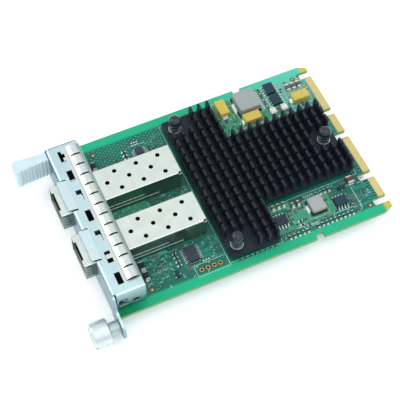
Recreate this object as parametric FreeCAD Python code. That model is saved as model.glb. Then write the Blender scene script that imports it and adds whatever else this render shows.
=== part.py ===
"""Network interface card: small open-format server card with two SFP ports and a pull-tab bracket.

Millimetres.  +X is to the right as seen from the front, +Y is the way the card goes into the
server, +Z is up.  The origin is on the board's centreline, at the outer face of the faceplate
and the underside of the board.
"""
import FreeCAD
import Part
import math
import os

V = FreeCAD.Vector

# ---- driving dimensions -------------------------------------------------------------------
# board
card_length = 115.0
board_width = 76.0
board_thickness = 1.57
board_gap = 0.3
latch_notch_from_end = 31.5
latch_notch_width = 3.2
latch_notch_depth = 2.0
edge_slot_length = 6.0
edge_slot_width = 2.95
edge_slot_corner = 1.0
ear_inset = 1.5
ear_length = 3.5
tongue_widths = (17.9, 9.2, 17.9, 9.2)
tongue_group_centre_x = -0.325
edge_bevel_run = 0.5
edge_bevel_rise = 0.35
contact_counts = (28, 14, 28, 14)
contact_pitch = 0.6
contact_width = 0.4
contact_length = 2.5
contact_thickness = 0.05
header_hole_radius = 0.5
header_hole_pitch = 2.54
header_hole_count = 4
header_from_side = 5.8
header_behind_flange = 27.2

# faceplate, folded from one sheet
sheet = 1.0
bend_inside_radius = 0.35
plate_half_width = 35.0
plate_bottom_z = -2.2
plate_corner_radius = 0.8
flange_top_z = 12.35
flange_depth = 13.0
foot_width = 5.5
foot_reach = 5.0
foot_hole_radius = 0.85
foot_hole_clearance = 0.05
board_hole_clearance = 0.25
screw_overhang = 5.2
screw_axis_z = 0.0
screw_tab_radius = 4.9
flange_window_count = 7
flange_window_margin = 6.4
flange_window_shift = -0.4
flange_window_width = 5.0
flange_window_front_y = 4.2
flange_window_depth = 2.2
# windows that keep a tongue of the sheet, cut free along its rear edge
tongue_windows = (2, 4)
window_tongue_width = 3.0
window_tongue_gap = 0.45
hood_width = 13.4
hood_fold_y = 2.6
hood_reach = 3.6
hood_rise = 0.75
side_window_front_y = 2.4
side_window_rear_y = 5.8
side_window_bottom_z = 4.2
side_window_top_z = 8.4
side_hole_radius = 1.3
side_hole_from_rear = 4.0
side_hole_z = 5.2
side_wall_gap = 0.25

# spring finger strip along the flange
strip_sheet = 0.18
strip_left_inset = 3.0
strip_right_inset = 4.7
strip_clearance = 0.1
finger_count = 13
finger_slit_width = 0.6
strip_flat_length = 0.8
arch_height = 1.25
slit_land = 1.0
strip_hook = 0.7
# window index, left and right reach from its centre, share of the window that the clip crosses
strip_clips = (
    (0, -2.4, -0.9, 0.5),
    (0, 0.9, 2.4, 0.5),
    (5, -1, 0.8, 1),
)

# port cages
port_spacing = 23.1
cage_width = 14.0
cage_height = 9.4
cage_length = 48.7
cage_nose = 4.15
cage_sheet = 0.25
cage_standoff = 0.3
cage_window_clearance = 0.3
cage_slot_from_wall = 0.5
cage_floor_length = 33.0
vent_radius = 0.9
vent_pitch = 8.95
vent_column_spacing = 3.98
vent_outer_start_y = 21.25
vent_middle_start_y = 16.85
nose_scoop_width = 8.0
nose_scoop_depth = 0.8
cage_leg_width = 0.6
cage_leg_length = 3.1
cage_leg_bury = 0.8
cage_leg_hole_radius = 0.5
cage_leg_rows = (9.0, 24.0, 40.0)
cage_edge_radius = 0.5
latch_hole_from_nose = 5.9
latch_hole_width = 2.6
latch_hole_length = 2.2
rear_notch_width = 0.75
rear_notch_length = 1.2
rear_notch_height = 1.0
small_round_sides = 12

# connector inside each cage
connector_width = 11.4
connector_length = 10.0
connector_height = 7.4
connector_front_y = 30.5
card_slot_width = 9.4
card_slot_height = 1.6
card_slot_centre_z = 6.6
port_contact_count = 10
port_contact_pitch = 0.8
port_contact_width = 0.35
port_contact_thickness = 0.2
port_contact_stagger = 0.4
port_contact_tail = 0.8

# processor and heatsink
chip_size = 25.0
chip_from_end = 35.0
chip_substrate_height = 0.6
chip_cap_size = 19.0
chip_cap_height = 0.8
pad_thickness = 0.25
heatsink_centre_x = 0.4
heatsink_cage_gap = 3.45
heatsink_from_end = 6.5
heatsink_wide_from_end = 46.5
heatsink_base_thickness = 1.5
fin_height = 5.2
fin_width_x = 3.1
fin_width_y = 0.95
fin_pitch_x = 4.15
fin_pitch_y = 3.64
fin_inset = 1.3
fin_columns = 16
narrow_first_column = 4
narrow_columns = 8
heatsink_edge = 0.45
heatsink_corner = 0.5

# sprung push pins holding the heatsink
push_pin_spacing = 57.3
push_pin_front_inset = 4.1
push_pin_rear_inset = 4.8
push_pin_clear_depth = 1.9
push_pin_shank_radius = 1.35
push_pin_hole_clearance = 0.2
push_pin_rim_radius = 2.6
push_pin_rim_height = 0.7
push_pin_rim_z = 9.2
push_pin_dome_height = 2.1
push_pin_barb_radius = 1.9
push_pin_barb_length = 2.3
push_pin_slit = 0.7
push_pin_sides = 20
heatsink_spring_radius = 2.1
heatsink_spring_turns = 3
spring_wire = 0.5
spring_sides_per_turn = 12

# captive thumbscrew
knob_radius = 5.05
knob_length = 6.8
knob_edge = 0.6
knob_slot_width = 1.0
knob_slot_depth = 1.0
knob_bore_radius = 2.85
knob_bore_depth = 5.8
neck_radius = 2.65
neck_length = 4.1
neck_bore_radius = 2.2
neck_lip = 0.6
screw_shank_radius = 1.7
screw_shoulder_radius = 2.1
screw_shoulder_length = 0.8
screw_tip_radius = 1.5
screw_tip_y = 0.3
screw_play = 0.08
screw_spring_radius = 2.2
screw_spring_turns = 3
screw_spring_wire = 0.45

# pull tab
pull_tab_inset = 3.3
pull_tab_root_thickness = 4.0
pull_tab_end_thickness = 5.8
pull_tab_length = 13.8
pull_tab_bottom_z = 2.0
pull_tab_top_z = 12.0
pull_tab_rib_count = 8
pull_tab_rib_depth = 0.45
pull_tab_rib_slant = 0.23
pull_tab_end_radius = 1.8
pull_tab_rib_free_length = 2.4
pull_tab_screw_radius = 1.0
pull_tab_screw_head_radius = 1.6
pull_tab_screw_head = 1.1
pull_tab_screw_length = 6.0

# bracket screws, from under the board into the feet
bracket_screw_head_radius = 1.9
bracket_screw_head = 1.0
bracket_screw_inset = 3.0

seat = 0.02
lead_thickness = 0.2
lead_reach = 1.1
few_lead_count = 4
many_lead_count = 10
package_standoff = 0.1
tantalum_length = 7.3
tantalum_width = 4.3
tantalum_top = 4.4
tantalum_foot_height = 0.15

# ---- worked-out places ----------------------------------------------------------------------
board_top = board_thickness
board_front_y = sheet + board_gap
half_board = board_width / 2
latch_notch_centre_y = card_length - latch_notch_from_end
header_x = half_board - header_from_side
header_centre_y = flange_depth + header_behind_flange
screw_axis_x = plate_half_width + screw_overhang
flange_window_pitch = 2 * (plate_half_width - flange_window_margin) / (flange_window_count - 1)
strip_left_x = -plate_half_width + strip_left_inset
strip_right_x = plate_half_width - strip_right_inset
finger_pitch = (strip_right_x - strip_left_x) / finger_count
strip_front_y = flange_window_front_y + flange_window_depth + strip_clearance
arch_start_y = strip_front_y + strip_flat_length
flange_under_z = flange_top_z - sheet
bend_outside_radius = bend_inside_radius + sheet
cage_front_y = -cage_nose
cage_rear_y = cage_front_y + cage_length
cage_bottom_z = board_top + cage_standoff
cage_top_z = cage_bottom_z + cage_height
port_centres = (-port_spacing / 2, port_spacing / 2)
contact_end_y = card_length - edge_bevel_run
chip_top = board_top + chip_substrate_height + chip_cap_height
heatsink_base_z = chip_top + pad_thickness
heatsink_base_top = heatsink_base_z + heatsink_base_thickness
chip_centre_y = card_length - chip_from_end
heatsink_front_y = cage_rear_y + heatsink_cage_gap
heatsink_rear_y = card_length - heatsink_from_end
heatsink_wide_rear_y = card_length - heatsink_wide_from_end
push_pin_front_y = heatsink_front_y + push_pin_front_inset
push_pin_rear_y = heatsink_rear_y - push_pin_rear_inset
first_column_x = heatsink_centre_x - ((fin_columns - 1) * fin_pitch_x + fin_width_x) / 2
push_pins = (
    (heatsink_centre_x - push_pin_spacing / 2, push_pin_front_y),
    (heatsink_centre_x + push_pin_spacing / 2, push_pin_front_y),
    (heatsink_centre_x, push_pin_rear_y),
)
push_pin_hole_radius = push_pin_shank_radius + push_pin_hole_clearance
neck_front_y = -neck_length
knob_front_y = neck_front_y - knob_length
foot_outer_x = plate_half_width
foot_front_y = flange_depth - foot_width
foot_hole_x = foot_outer_x - foot_reach / 2 - 0.4
foot_hole_y = flange_depth - bracket_screw_inset


# ---- shape helpers --------------------------------------------------------------------------
def block(x0, x1, y0, y1, z0, z1):
    """Box between two corners."""
    return Part.makeBox(x1 - x0, y1 - y0, z1 - z0, V(x0, y0, z0))


def centred_block(x, y, size_x, size_y, z0, z1):
    """Box standing on z0, centred in plan."""
    return block(x - size_x / 2, x + size_x / 2, y - size_y / 2, y + size_y / 2, z0, z1)


def rod_y(x, z, y0, y1, radius):
    """Round bar along Y."""
    return Part.makeCylinder(radius, y1 - y0, V(x, y0, z), V(0, 1, 0))


def rod_z(x, y, z0, z1, radius):
    """Round bar along Z."""
    return Part.makeCylinder(radius, z1 - z0, V(x, y, z0), V(0, 0, 1))


def rounded_wire(corners):
    """Closed flat wire through 3D corners, each given with the radius that rounds it."""
    edges = []
    count = len(corners)
    starts = []
    ends = []
    for i in range(count):
        point, radius = corners[i]
        before = (corners[i - 1][0] - point).normalize()
        after = (corners[(i + 1) % count][0] - point).normalize()
        if radius <= 0:
            starts.append(point)
            ends.append(point)
            continue
        half_angle = before.getAngle(after) / 2
        setback = radius / math.tan(half_angle)
        starts.append(point + before * setback)
        ends.append(point + after * setback)
        bisector = (before + after).normalize()
        centre = point + bisector * (radius / math.sin(half_angle))
        middle = centre - bisector * radius
        edges.append(Part.Arc(starts[i], middle, ends[i]).toShape())
    for i in range(count):
        following = starts[(i + 1) % count]
        if ends[i].distanceToPoint(following) > 1e-6:
            edges.append(Part.makeLine(ends[i], following))
    return Part.Wire(Part.__sortEdges__(edges))


def extrude_outline(corners, direction):
    """Solid swept from a rounded outline along a vector."""
    return Part.Face(rounded_wire(corners)).extrude(direction)


def plan_prism(points, z0, z1):
    """Prism over an outline in plan: (x, y) or (x, y, corner radius)."""
    corners = [(V(p[0], p[1], z0), p[2] if len(p) > 2 else 0) for p in points]
    return extrude_outline(corners, V(0, 0, z1 - z0))


def front_prism(points, y0, y1):
    """Prism over an outline seen from the front: (x, z) or (x, z, corner radius)."""
    corners = [(V(p[0], y0, p[1]), p[2] if len(p) > 2 else 0) for p in points]
    return extrude_outline(corners, V(0, y1 - y0, 0))


def side_prism(points, x0, x1):
    """Prism over an outline seen from the side: (y, z) or (y, z, corner radius)."""
    corners = [(V(x0, p[0], p[1]), p[2] if len(p) > 2 else 0) for p in points]
    return extrude_outline(corners, V(x1 - x0, 0, 0))


def fuse_all(shapes):
    """One solid from shapes that touch or overlap."""
    return shapes[0].multiFuse(shapes[1:]).removeSplitter()


def turned(profile, origin, axis, radial):
    """Solid of revolution: profile is (distance along the axis, radius)."""
    points = [origin + axis * along + radial * radius for along, radius in profile]
    edges = []
    for i in range(len(points)):
        edges.append(Part.makeLine(points[i - 1], points[i]))
    face = Part.Face(Part.Wire(Part.__sortEdges__(edges)))
    return face.revolve(origin, axis, 360)


def coil_spring(length, radius, turns, wire):
    """Coil of square wire along +Z from z = 0, each turn drawn with a few straight lengths."""
    steps = turns * spring_sides_per_turn
    rise = (length - wire) / steps
    sections = []
    for i in range(steps + 1):
        angle = 2 * math.pi * i / spring_sides_per_turn
        outward = V(math.cos(angle), math.sin(angle), 0)
        corners = []
        for out, up in ((-wire / 2, 0), (wire / 2, 0), (wire / 2, wire), (-wire / 2, wire)):
            corners.append(outward * (radius + out) + V(0, 0, rise * i + up))
        sections.append(corners)
    faces = [polygon_face(sections[0][::-1]), polygon_face(sections[-1])]
    for before, after in zip(sections, sections[1:]):
        for k in range(4):
            following = (k + 1) % 4
            faces.append(polygon_face([before[k], before[following], after[following]]))
            faces.append(polygon_face([before[k], after[following], after[k]]))
    return Part.Solid(Part.Shell(faces))


def polygon_face(points):
    """Flat face through points in order."""
    return Part.Face(Part.makePolygon(points + points[:1]))


def small_hole(x, y, z0, z1, radius):
    """Cutter for a small hole that repeats, with a few flat sides in place of a round wall."""
    points = []
    for i in range(small_round_sides):
        angle = 2 * math.pi * (i + 0.5) / small_round_sides
        points.append((x + radius * math.cos(angle), y + radius * math.sin(angle)))
    return plan_prism(points, z0, z1)


def turned_small(profile, origin, axis, radial, sides):
    """Like turned, for a small part that repeats: flat sides in place of the round ones."""
    across = axis.cross(radial)
    rings = []
    for along, radius in profile:
        ring = []
        for i in range(sides):
            angle = 2 * math.pi * i / sides
            outward = radial * math.cos(angle) + across * math.sin(angle)
            ring.append(origin + axis * along + outward * radius)
        rings.append(ring)
    faces = []
    for index in range(len(rings) - 1):
        near, far = rings[index], rings[index + 1]
        for i in range(sides):
            following = (i + 1) % sides
            points = [near[i], near[following], far[following], far[i]]
            if profile[index][1] == 0:
                points = [near[i], far[following], far[i]]
            elif profile[index + 1][1] == 0:
                points = [near[i], near[following], far[i]]
            faces.append(polygon_face(points))
    return Part.Solid(Part.Shell(faces))


def lead(x, y, z_top, reach, width, side_x, side_y):
    """Lead that leaves a package side at z_top and slopes down to its foot on the board."""
    profile = [
        (0, z_top - lead_thickness),
        (reach * 0.5, board_top),
        (reach, board_top),
        (0, z_top),
    ]
    points = []
    for out, z in profile:
        offset = V(side_x, side_y, 0) * out
        across = V(side_y, side_x, 0) * (-width / 2)
        points.append((V(x, y, z) + offset + across, 0))
    return extrude_outline(points, V(side_y, side_x, 0) * width)


# ---- board and card edge --------------------------------------------------------------------
def tongue_spans():
    """Left and right X of each contact tongue."""
    total = sum(tongue_widths) + edge_slot_width * (len(tongue_widths) - 1)
    left = tongue_group_centre_x - total / 2
    spans = []
    for width in tongue_widths:
        spans.append((left, left + width))
        left += width + edge_slot_width
    return spans


def circuit_board():
    half = half_board
    ear_end_x = half - ear_inset
    ear_start_y = card_length - ear_length
    notch_front = latch_notch_centre_y - latch_notch_width / 2
    notch_rear = latch_notch_centre_y + latch_notch_width / 2
    notch_x = half - latch_notch_depth
    right = [
        (half, board_front_y),
        (half, notch_front),
        (notch_x, notch_front),
        (notch_x, notch_rear),
        (half, notch_rear),
        (half, ear_start_y, 3.0),
        (ear_end_x, card_length),
    ]
    left = [(-p[0],) + tuple(p[1:]) for p in reversed(right)]
    board = plan_prism(right + left, 0, board_top)
    spans = tongue_spans()
    slot_lefts = [spans[0][0] - edge_slot_width] + [span[1] for span in spans]
    slot_front = card_length - edge_slot_length
    past_end = card_length + 1
    for x in slot_lefts:
        slot = plan_prism(
            [
                (x, slot_front, edge_slot_corner),
                (x + edge_slot_width, slot_front, edge_slot_corner),
                (x + edge_slot_width, past_end),
                (x, past_end),
            ],
            -1,
            board_top + 1,
        )
        board = board.cut(slot)
    bevel_start = card_length - edge_bevel_run
    for z_face, z_out, rise in ((board_top, board_top + 1, -edge_bevel_rise), (0, -1, edge_bevel_rise)):
        bevel = side_prism(
            [(bevel_start, z_face), (past_end, z_face + 2 * rise), (past_end, z_out), (bevel_start, z_out)],
            spans[0][0] - edge_slot_width / 2,
            spans[-1][1] + edge_slot_width / 2,
        )
        board = board.cut(bevel)
    holes = []
    for x, y in push_pins:
        holes.append(small_hole(x, y, -1, board_top + 1, push_pin_hole_radius))
    screw_hole_radius = foot_hole_radius + board_hole_clearance
    for side in (-1, 1):
        holes.append(small_hole(side * foot_hole_x, foot_hole_y, -1, board_top + 1, screw_hole_radius))
    for i in range(header_hole_count):
        y = header_centre_y + (i - (header_hole_count - 1) / 2) * header_hole_pitch
        holes.append(rod_z(header_x, y, -1, board_top + 1, header_hole_radius))
    for centre in port_centres:
        for side in (-1, 1):
            for y in cage_leg_rows:
                x = centre + side * (cage_width - cage_sheet) / 2
                holes.append(small_hole(x, y, -1, board_top + 1, cage_leg_hole_radius))
    return board.cut(Part.makeCompound(holes))


def edge_contacts(z0):
    """Gold pads on one face of the tongues."""
    pads = []
    for (left, right), count in zip(tongue_spans(), contact_counts):
        first = (left + right) / 2 - (count - 1) * contact_pitch / 2
        for i in range(count):
            x = first + i * contact_pitch
            y = contact_end_y - contact_length / 2
            pads.append(centred_block(x, y, contact_width, contact_length, z0, z0 + contact_thickness))
    return Part.makeCompound(pads)


# ---- faceplate ------------------------------------------------------------------------------
def port_window():
    """Half width, bottom and top of the opening a cage passes through."""
    half = cage_width / 2 + cage_window_clearance
    return half, cage_bottom_z - cage_window_clearance, flange_under_z


def faceplate():
    bend_z = flange_top_z - bend_outside_radius
    bend_x = plate_half_width - bend_outside_radius
    tab_top = screw_axis_z + screw_tab_radius
    tab_bottom = screw_axis_z - screw_tab_radius
    tab_end = screw_axis_x + screw_tab_radius
    tab_shoulder_x = screw_axis_x - screw_tab_radius - 2.3
    wall_top_z = flange_top_z - 0.2
    front = front_prism(
        [
            (-plate_half_width, plate_bottom_z, plate_corner_radius),
            (tab_shoulder_x, plate_bottom_z),
            (tab_shoulder_x, tab_bottom),
            (tab_end, tab_bottom, screw_tab_radius - 0.001),
            (tab_end, tab_top, screw_tab_radius - 0.001),
            (screw_axis_x - 3.2, tab_top, 2.2),
            (plate_half_width + 0.5, wall_top_z, plate_corner_radius),
            (bend_x + 0.3, wall_top_z),
            (bend_x + 0.3, bend_z),
            (-bend_x - 0.3, bend_z),
            (-bend_x - 0.3, wall_top_z),
            (-plate_half_width, wall_top_z, plate_corner_radius),
        ],
        0,
        sheet,
    )
    top = side_prism(
        [
            (0, bend_z - 0.5),
            (sheet, bend_z - 0.5),
            (sheet, flange_under_z, bend_inside_radius),
            (flange_depth, flange_under_z),
            (flange_depth, flange_top_z),
            (0, flange_top_z, bend_outside_radius),
        ],
        -bend_x,
        bend_x,
    )
    pieces = [front, top]
    side_front_y = bend_outside_radius + side_wall_gap
    for side in (-1, 1):
        wall = front_prism(
            [
                (side * (bend_x - 1), flange_under_z),
                (side * (plate_half_width - sheet), flange_under_z, bend_inside_radius),
                (side * (plate_half_width - sheet), board_top + sheet, bend_inside_radius),
                (side * (plate_half_width - foot_reach), board_top + sheet),
                (side * (plate_half_width - foot_reach), board_top),
                (side * plate_half_width, board_top, bend_outside_radius),
                (side * plate_half_width, flange_top_z, bend_outside_radius),
                (side * (bend_x - 1), flange_top_z),
            ],
            side_front_y,
            flange_depth,
        )
        foot_relief = block(
            -plate_half_width - 1,
            plate_half_width + 1,
            side_front_y - 1,
            foot_front_y,
            board_top - 1,
            board_top + bend_outside_radius,
        )
        pieces.append(wall.cut(foot_relief))
    plate = fuse_all(pieces)
    cuts = []
    window_half, window_bottom, window_top = port_window()
    for centre in port_centres:
        cuts.append(
            front_prism(
                [
                    (centre - window_half, window_bottom),
                    (centre + window_half, window_bottom),
                    (centre + window_half, flange_top_z + 1),
                    (centre - window_half, flange_top_z + 1),
                ],
                -1,
                hood_fold_y,
            )
        )
    window_rear_y = flange_window_front_y + flange_window_depth
    for i in range(flange_window_count):
        left, right = flange_window_span(i)
        cuts.append(
            block(left, right, flange_window_front_y, window_rear_y, flange_under_z - 1, flange_top_z + 1)
        )
        if i in tongue_windows:
            tongue_rear_y = window_rear_y - window_tongue_gap
            cuts.append(
                block(
                    right,
                    right + window_tongue_width,
                    tongue_rear_y,
                    window_rear_y,
                    flange_under_z - 1,
                    flange_top_z + 1,
                )
            )
    for side in (-1, 1):
        screw_hole_radius = foot_hole_radius + foot_hole_clearance
        cuts.append(
            small_hole(side * foot_hole_x, foot_hole_y, board_top - 1, board_top + 2, screw_hole_radius)
        )
        wall_x = side * plate_half_width - 2
        cuts.append(
            block(
                wall_x,
                wall_x + 4,
                side_window_front_y,
                side_window_rear_y,
                side_window_bottom_z,
                side_window_top_z,
            )
        )
        hole_y = flange_depth - side_hole_from_rear
        cuts.append(Part.makeCylinder(side_hole_radius, 4, V(wall_x, hole_y, side_hole_z), V(1, 0, 0)))
    cuts.append(rod_y(screw_axis_x, screw_axis_z, -1, sheet + 1, neck_bore_radius))
    for z in pull_tab_screw_heights():
        cuts.append(rod_y(pull_tab_x(), z, -1, sheet + 1, pull_tab_screw_radius + 0.1))
    plate = plate.cut(Part.makeCompound(cuts))
    hoods = []
    for centre in port_centres:
        back = hood_fold_y + 0.2
        hoods.append(
            side_prism(
                [
                    (back, flange_under_z),
                    (back, flange_top_z),
                    (hood_fold_y - hood_reach, flange_top_z + hood_rise),
                    (hood_fold_y - hood_reach, flange_top_z + hood_rise - sheet),
                ],
                centre - hood_width / 2,
                centre + hood_width / 2,
            )
        )
    tabs = []
    for side in (-1, 1):
        inner = side * (plate_half_width - sheet)
        tabs.append(
            plan_prism(
                [
                    (inner, side_window_rear_y + 0.4),
                    (inner + side * sheet, side_window_rear_y + 0.4),
                    (inner + side * sheet, side_window_rear_y - 0.2),
                    (inner - side * 1.1, side_window_front_y + 0.6),
                    (inner - side * 1.9, side_window_front_y + 1.0),
                ],
                side_window_bottom_z + 0.6,
                side_window_top_z - 0.6,
            )
        )
    return fuse_all([plate] + hoods + tabs)


def flange_window_x(index):
    """Centre of one of the windows along the flange."""
    return flange_window_shift + (index - (flange_window_count - 1) / 2) * flange_window_pitch


def flange_window_span(index):
    """Left and right side of a window's opening; a tongue takes its right part."""
    x = flange_window_x(index)
    left = x - flange_window_width / 2
    right = x + flange_window_width / 2
    if index in tongue_windows:
        right -= window_tongue_width
    return left, right


def pull_tab_x():
    """Centreline of the pull tab and of its screws."""
    return -plate_half_width + pull_tab_inset


def pull_tab_screw_heights():
    inset = pull_tab_screw_head_radius + 0.6
    return (pull_tab_bottom_z + inset, flange_under_z - inset - 0.3)


def emi_finger_strip():
    """Spring sheet clipped to the flange, arched over it and slit into fingers."""
    low = flange_top_z
    end_y = flange_depth + 0.15
    chord = end_y - arch_start_y
    radius = (chord * chord / 4 + arch_height * arch_height) / (2 * arch_height)
    middle = V(0, (arch_start_y + end_y) / 2, low + arch_height)

    def strip_edge(lift):
        centre = V(0, middle.y, low + arch_height - radius)
        start = V(0, arch_start_y, low + lift)
        crest = V(0, middle.y, low + arch_height + lift)
        half = math.sqrt((radius + lift) ** 2 - (low + lift - centre.z) ** 2)
        start.y = middle.y - half
        return start, crest, V(0, middle.y + half, low + lift)

    under_start, under_crest, under_end = strip_edge(0)
    over_start, over_crest, over_end = strip_edge(strip_sheet)
    hook_y = over_end.y
    hook_z = low - strip_hook
    edges = [
        Part.makeLine(V(0, strip_front_y, low), under_start),
        Part.Arc(under_start, under_crest, under_end).toShape(),
        Part.makeLine(under_end, V(0, under_end.y, hook_z)),
        Part.makeLine(V(0, under_end.y, hook_z), V(0, hook_y + 0.12, hook_z)),
        Part.makeLine(V(0, hook_y + 0.12, hook_z), over_end),
        Part.Arc(over_end, over_crest, over_start).toShape(),
        Part.makeLine(over_start, V(0, strip_front_y, low + strip_sheet)),
        Part.makeLine(V(0, strip_front_y, low + strip_sheet), V(0, strip_front_y, low)),
    ]
    strip = Part.Face(Part.Wire(Part.__sortEdges__(edges))).extrude(V(strip_right_x - strip_left_x, 0, 0))
    strip.translate(V(strip_left_x, 0, 0))
    slits = []
    for i in range(1, finger_count):
        x = strip_left_x + i * finger_pitch
        slits.append(
            block(
                x - finger_slit_width / 2,
                x + finger_slit_width / 2,
                arch_start_y + slit_land,
                flange_depth - slit_land,
                low - 1,
                low + arch_height + 1,
            )
        )
    strip = strip.cut(Part.makeCompound(slits))
    clips = []
    for index, left, right_reach, share in strip_clips:
        x = flange_window_x(index)
        rear = flange_window_front_y + flange_window_depth
        front = rear - flange_window_depth * share + strip_clearance
        clips.append(
            side_prism(
                [
                    (strip_front_y + strip_clearance, low),
                    (strip_front_y + strip_clearance, low + strip_sheet),
                    (front, low + strip_sheet),
                    (front, flange_under_z + strip_clearance),
                    (front + strip_sheet, flange_under_z + strip_clearance),
                    (front + strip_sheet, low),
                ],
                x + left,
                x + right_reach,
            )
        )
    return fuse_all([strip] + clips)


# ---- ports ----------------------------------------------------------------------------------
def sfp_cage(centre):
    """Folded sheet tunnel, open at the front, with vent holes and press-in legs."""
    half = cage_width / 2
    inner_half = half - cage_sheet
    outer = front_prism(
        [
            (centre - half, cage_bottom_z),
            (centre + half, cage_bottom_z),
            (centre + half, cage_top_z, cage_edge_radius),
            (centre - half, cage_top_z, cage_edge_radius),
        ],
        cage_front_y,
        cage_rear_y,
    )
    inner = front_prism(
        [
            (centre - inner_half, cage_bottom_z + cage_sheet),
            (centre + inner_half, cage_bottom_z + cage_sheet),
            (centre + inner_half, cage_top_z - cage_sheet),
            (centre - inner_half, cage_top_z - cage_sheet),
        ],
        cage_front_y - 1,
        cage_rear_y - cage_sheet,
    )
    cage = outer.cut(inner)
    floor_end = cage_front_y + cage_floor_length
    cuts = [
        block(
            centre - inner_half + 0.3,
            centre + inner_half - 0.3,
            floor_end,
            cage_rear_y - cage_sheet,
            cage_bottom_z - 1,
            cage_bottom_z + cage_sheet + 0.1,
        )
    ]
    for column in (-1, 0, 1):
        start = vent_middle_start_y if column == 0 else vent_outer_start_y
        for i in range(3):
            x = centre + column * vent_column_spacing
            cuts.append(small_hole(x, start + i * vent_pitch, cage_top_z - 0.5, cage_top_z + 1, vent_radius))
    cuts.append(
        plan_prism(
            [
                (centre - nose_scoop_width / 2, cage_front_y + nose_scoop_depth),
                (centre + nose_scoop_width / 2, cage_front_y + nose_scoop_depth),
                (centre + nose_scoop_width / 2 + 0.4, cage_front_y - 1),
                (centre - nose_scoop_width / 2 - 0.4, cage_front_y - 1),
            ],
            cage_top_z - 0.5,
            cage_top_z + 1,
        )
    )
    slot_reach = inner_half - cage_slot_from_wall
    for i in range(flange_window_count):
        left, right = flange_window_span(i)
        slot_left = max(left, centre - slot_reach)
        slot_right = min(right, centre + slot_reach)
        if slot_right > slot_left:
            cuts.append(
                block(
                    slot_left,
                    slot_right,
                    flange_window_front_y,
                    flange_window_front_y + flange_window_depth,
                    cage_top_z - 0.5,
                    cage_top_z + 1,
                )
            )
    latch_y = cage_front_y + latch_hole_from_nose
    latch_side = latch_hole_width / 2
    latch_end_y = latch_y + latch_hole_length
    cuts.append(
        plan_prism(
            [(centre - latch_side, latch_end_y), (centre + latch_side, latch_end_y), (centre, latch_y)],
            cage_bottom_z - 0.5,
            cage_bottom_z + cage_sheet + 0.1,
        )
    )
    cuts.append(
        block(
            centre + half - rear_notch_width,
            centre + half + 1,
            cage_rear_y - rear_notch_length,
            cage_rear_y + 1,
            cage_top_z - rear_notch_height,
            cage_top_z + 1,
        )
    )
    cage = cage.cut(Part.makeCompound(cuts))
    legs = []
    for side in (-1, 1):
        x = centre + side * (half - cage_sheet / 2)
        for y in cage_leg_rows:
            high = cage_bottom_z + cage_leg_bury
            legs.append(centred_block(x, y, cage_sheet, cage_leg_width, high - cage_leg_length, high))
    return fuse_all([cage] + legs)


def sfp_connector(centre):
    """Card-edge receptacle on the board at the cage's inner end."""
    rear = connector_front_y + connector_length
    top = board_top + connector_height
    half = connector_width / 2
    body = side_prism(
        [
            (connector_front_y + 2.2, board_top),
            (rear, board_top),
            (rear, top, 0.4),
            (connector_front_y + 1.0, top, 0.6),
            (connector_front_y, top - 1.0, 0.3),
            (connector_front_y, board_top + 2.4, 0.3),
            (connector_front_y + 2.2, board_top + 2.4),
        ],
        centre - half,
        centre + half,
    )
    slot = block(
        centre - card_slot_width / 2,
        centre + card_slot_width / 2,
        connector_front_y - 1,
        rear + 1,
        card_slot_centre_z - card_slot_height / 2,
        card_slot_centre_z + card_slot_height / 2,
    )
    return body.cut(slot)


def sfp_connector_contacts(centre):
    """Two rows of strips that line the slot and stand out behind the body."""
    rear = connector_front_y + connector_length
    low = card_slot_centre_z - card_slot_height / 2
    high = card_slot_centre_z + card_slot_height / 2
    contacts = []
    for row, z_under in ((0, low), (1, high - port_contact_thickness)):
        for i in range(port_contact_count):
            x = centre + (i - (port_contact_count - 1) / 2) * port_contact_pitch
            x += (row - 0.5) * port_contact_stagger
            contacts.append(
                block(
                    x - port_contact_width / 2,
                    x + port_contact_width / 2,
                    connector_front_y + 1.0,
                    rear + port_contact_tail,
                    z_under,
                    z_under + port_contact_thickness,
                )
            )
    return Part.makeCompound(contacts)


# ---- processor, heatsink and its pins ---------------------------------------------------------
def controller_chip():
    substrate = centred_block(
        heatsink_centre_x, chip_centre_y, chip_size, chip_size, board_top, board_top + chip_substrate_height
    )
    cap = centred_block(
        heatsink_centre_x,
        chip_centre_y,
        chip_cap_size,
        chip_cap_size,
        board_top + chip_substrate_height,
        chip_top,
    )
    return fuse_all([substrate, cap])


def thermal_pad():
    return centred_block(
        heatsink_centre_x, chip_centre_y, chip_cap_size, chip_cap_size, chip_top, heatsink_base_z
    )


def column_x(column):
    """Left side of a column of fins."""
    return first_column_x + column * fin_pitch_x


def fin_row_count(rear_y):
    """Rows of fins that fit in front of an edge of the base."""
    last_y = rear_y - heatsink_edge - fin_width_y / 2
    return int((last_y - heatsink_front_y - fin_inset) / fin_pitch_y) + 1


def fin_places():
    """Centre of each fin, leaving out those where the push pins stand."""
    keep_clear = heatsink_spring_radius + spring_wire
    wide_rows = fin_row_count(heatsink_wide_rear_y)
    places = []
    for row in range(fin_row_count(heatsink_rear_y)):
        if row < wide_rows:
            columns = range(fin_columns)
        else:
            columns = range(narrow_first_column, narrow_first_column + narrow_columns)
        y = heatsink_front_y + fin_inset + row * fin_pitch_y
        for column in columns:
            x = column_x(column) + fin_width_x / 2
            near_pin = False
            for pin_x, pin_y in push_pins:
                gap_x = abs(x - pin_x) - fin_width_x / 2
                gap_y = abs(y - pin_y) - fin_width_y / 2
                if gap_x < keep_clear and gap_y < keep_clear + push_pin_clear_depth:
                    near_pin = True
            if not near_pin:
                places.append((x, y))
    return places


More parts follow.
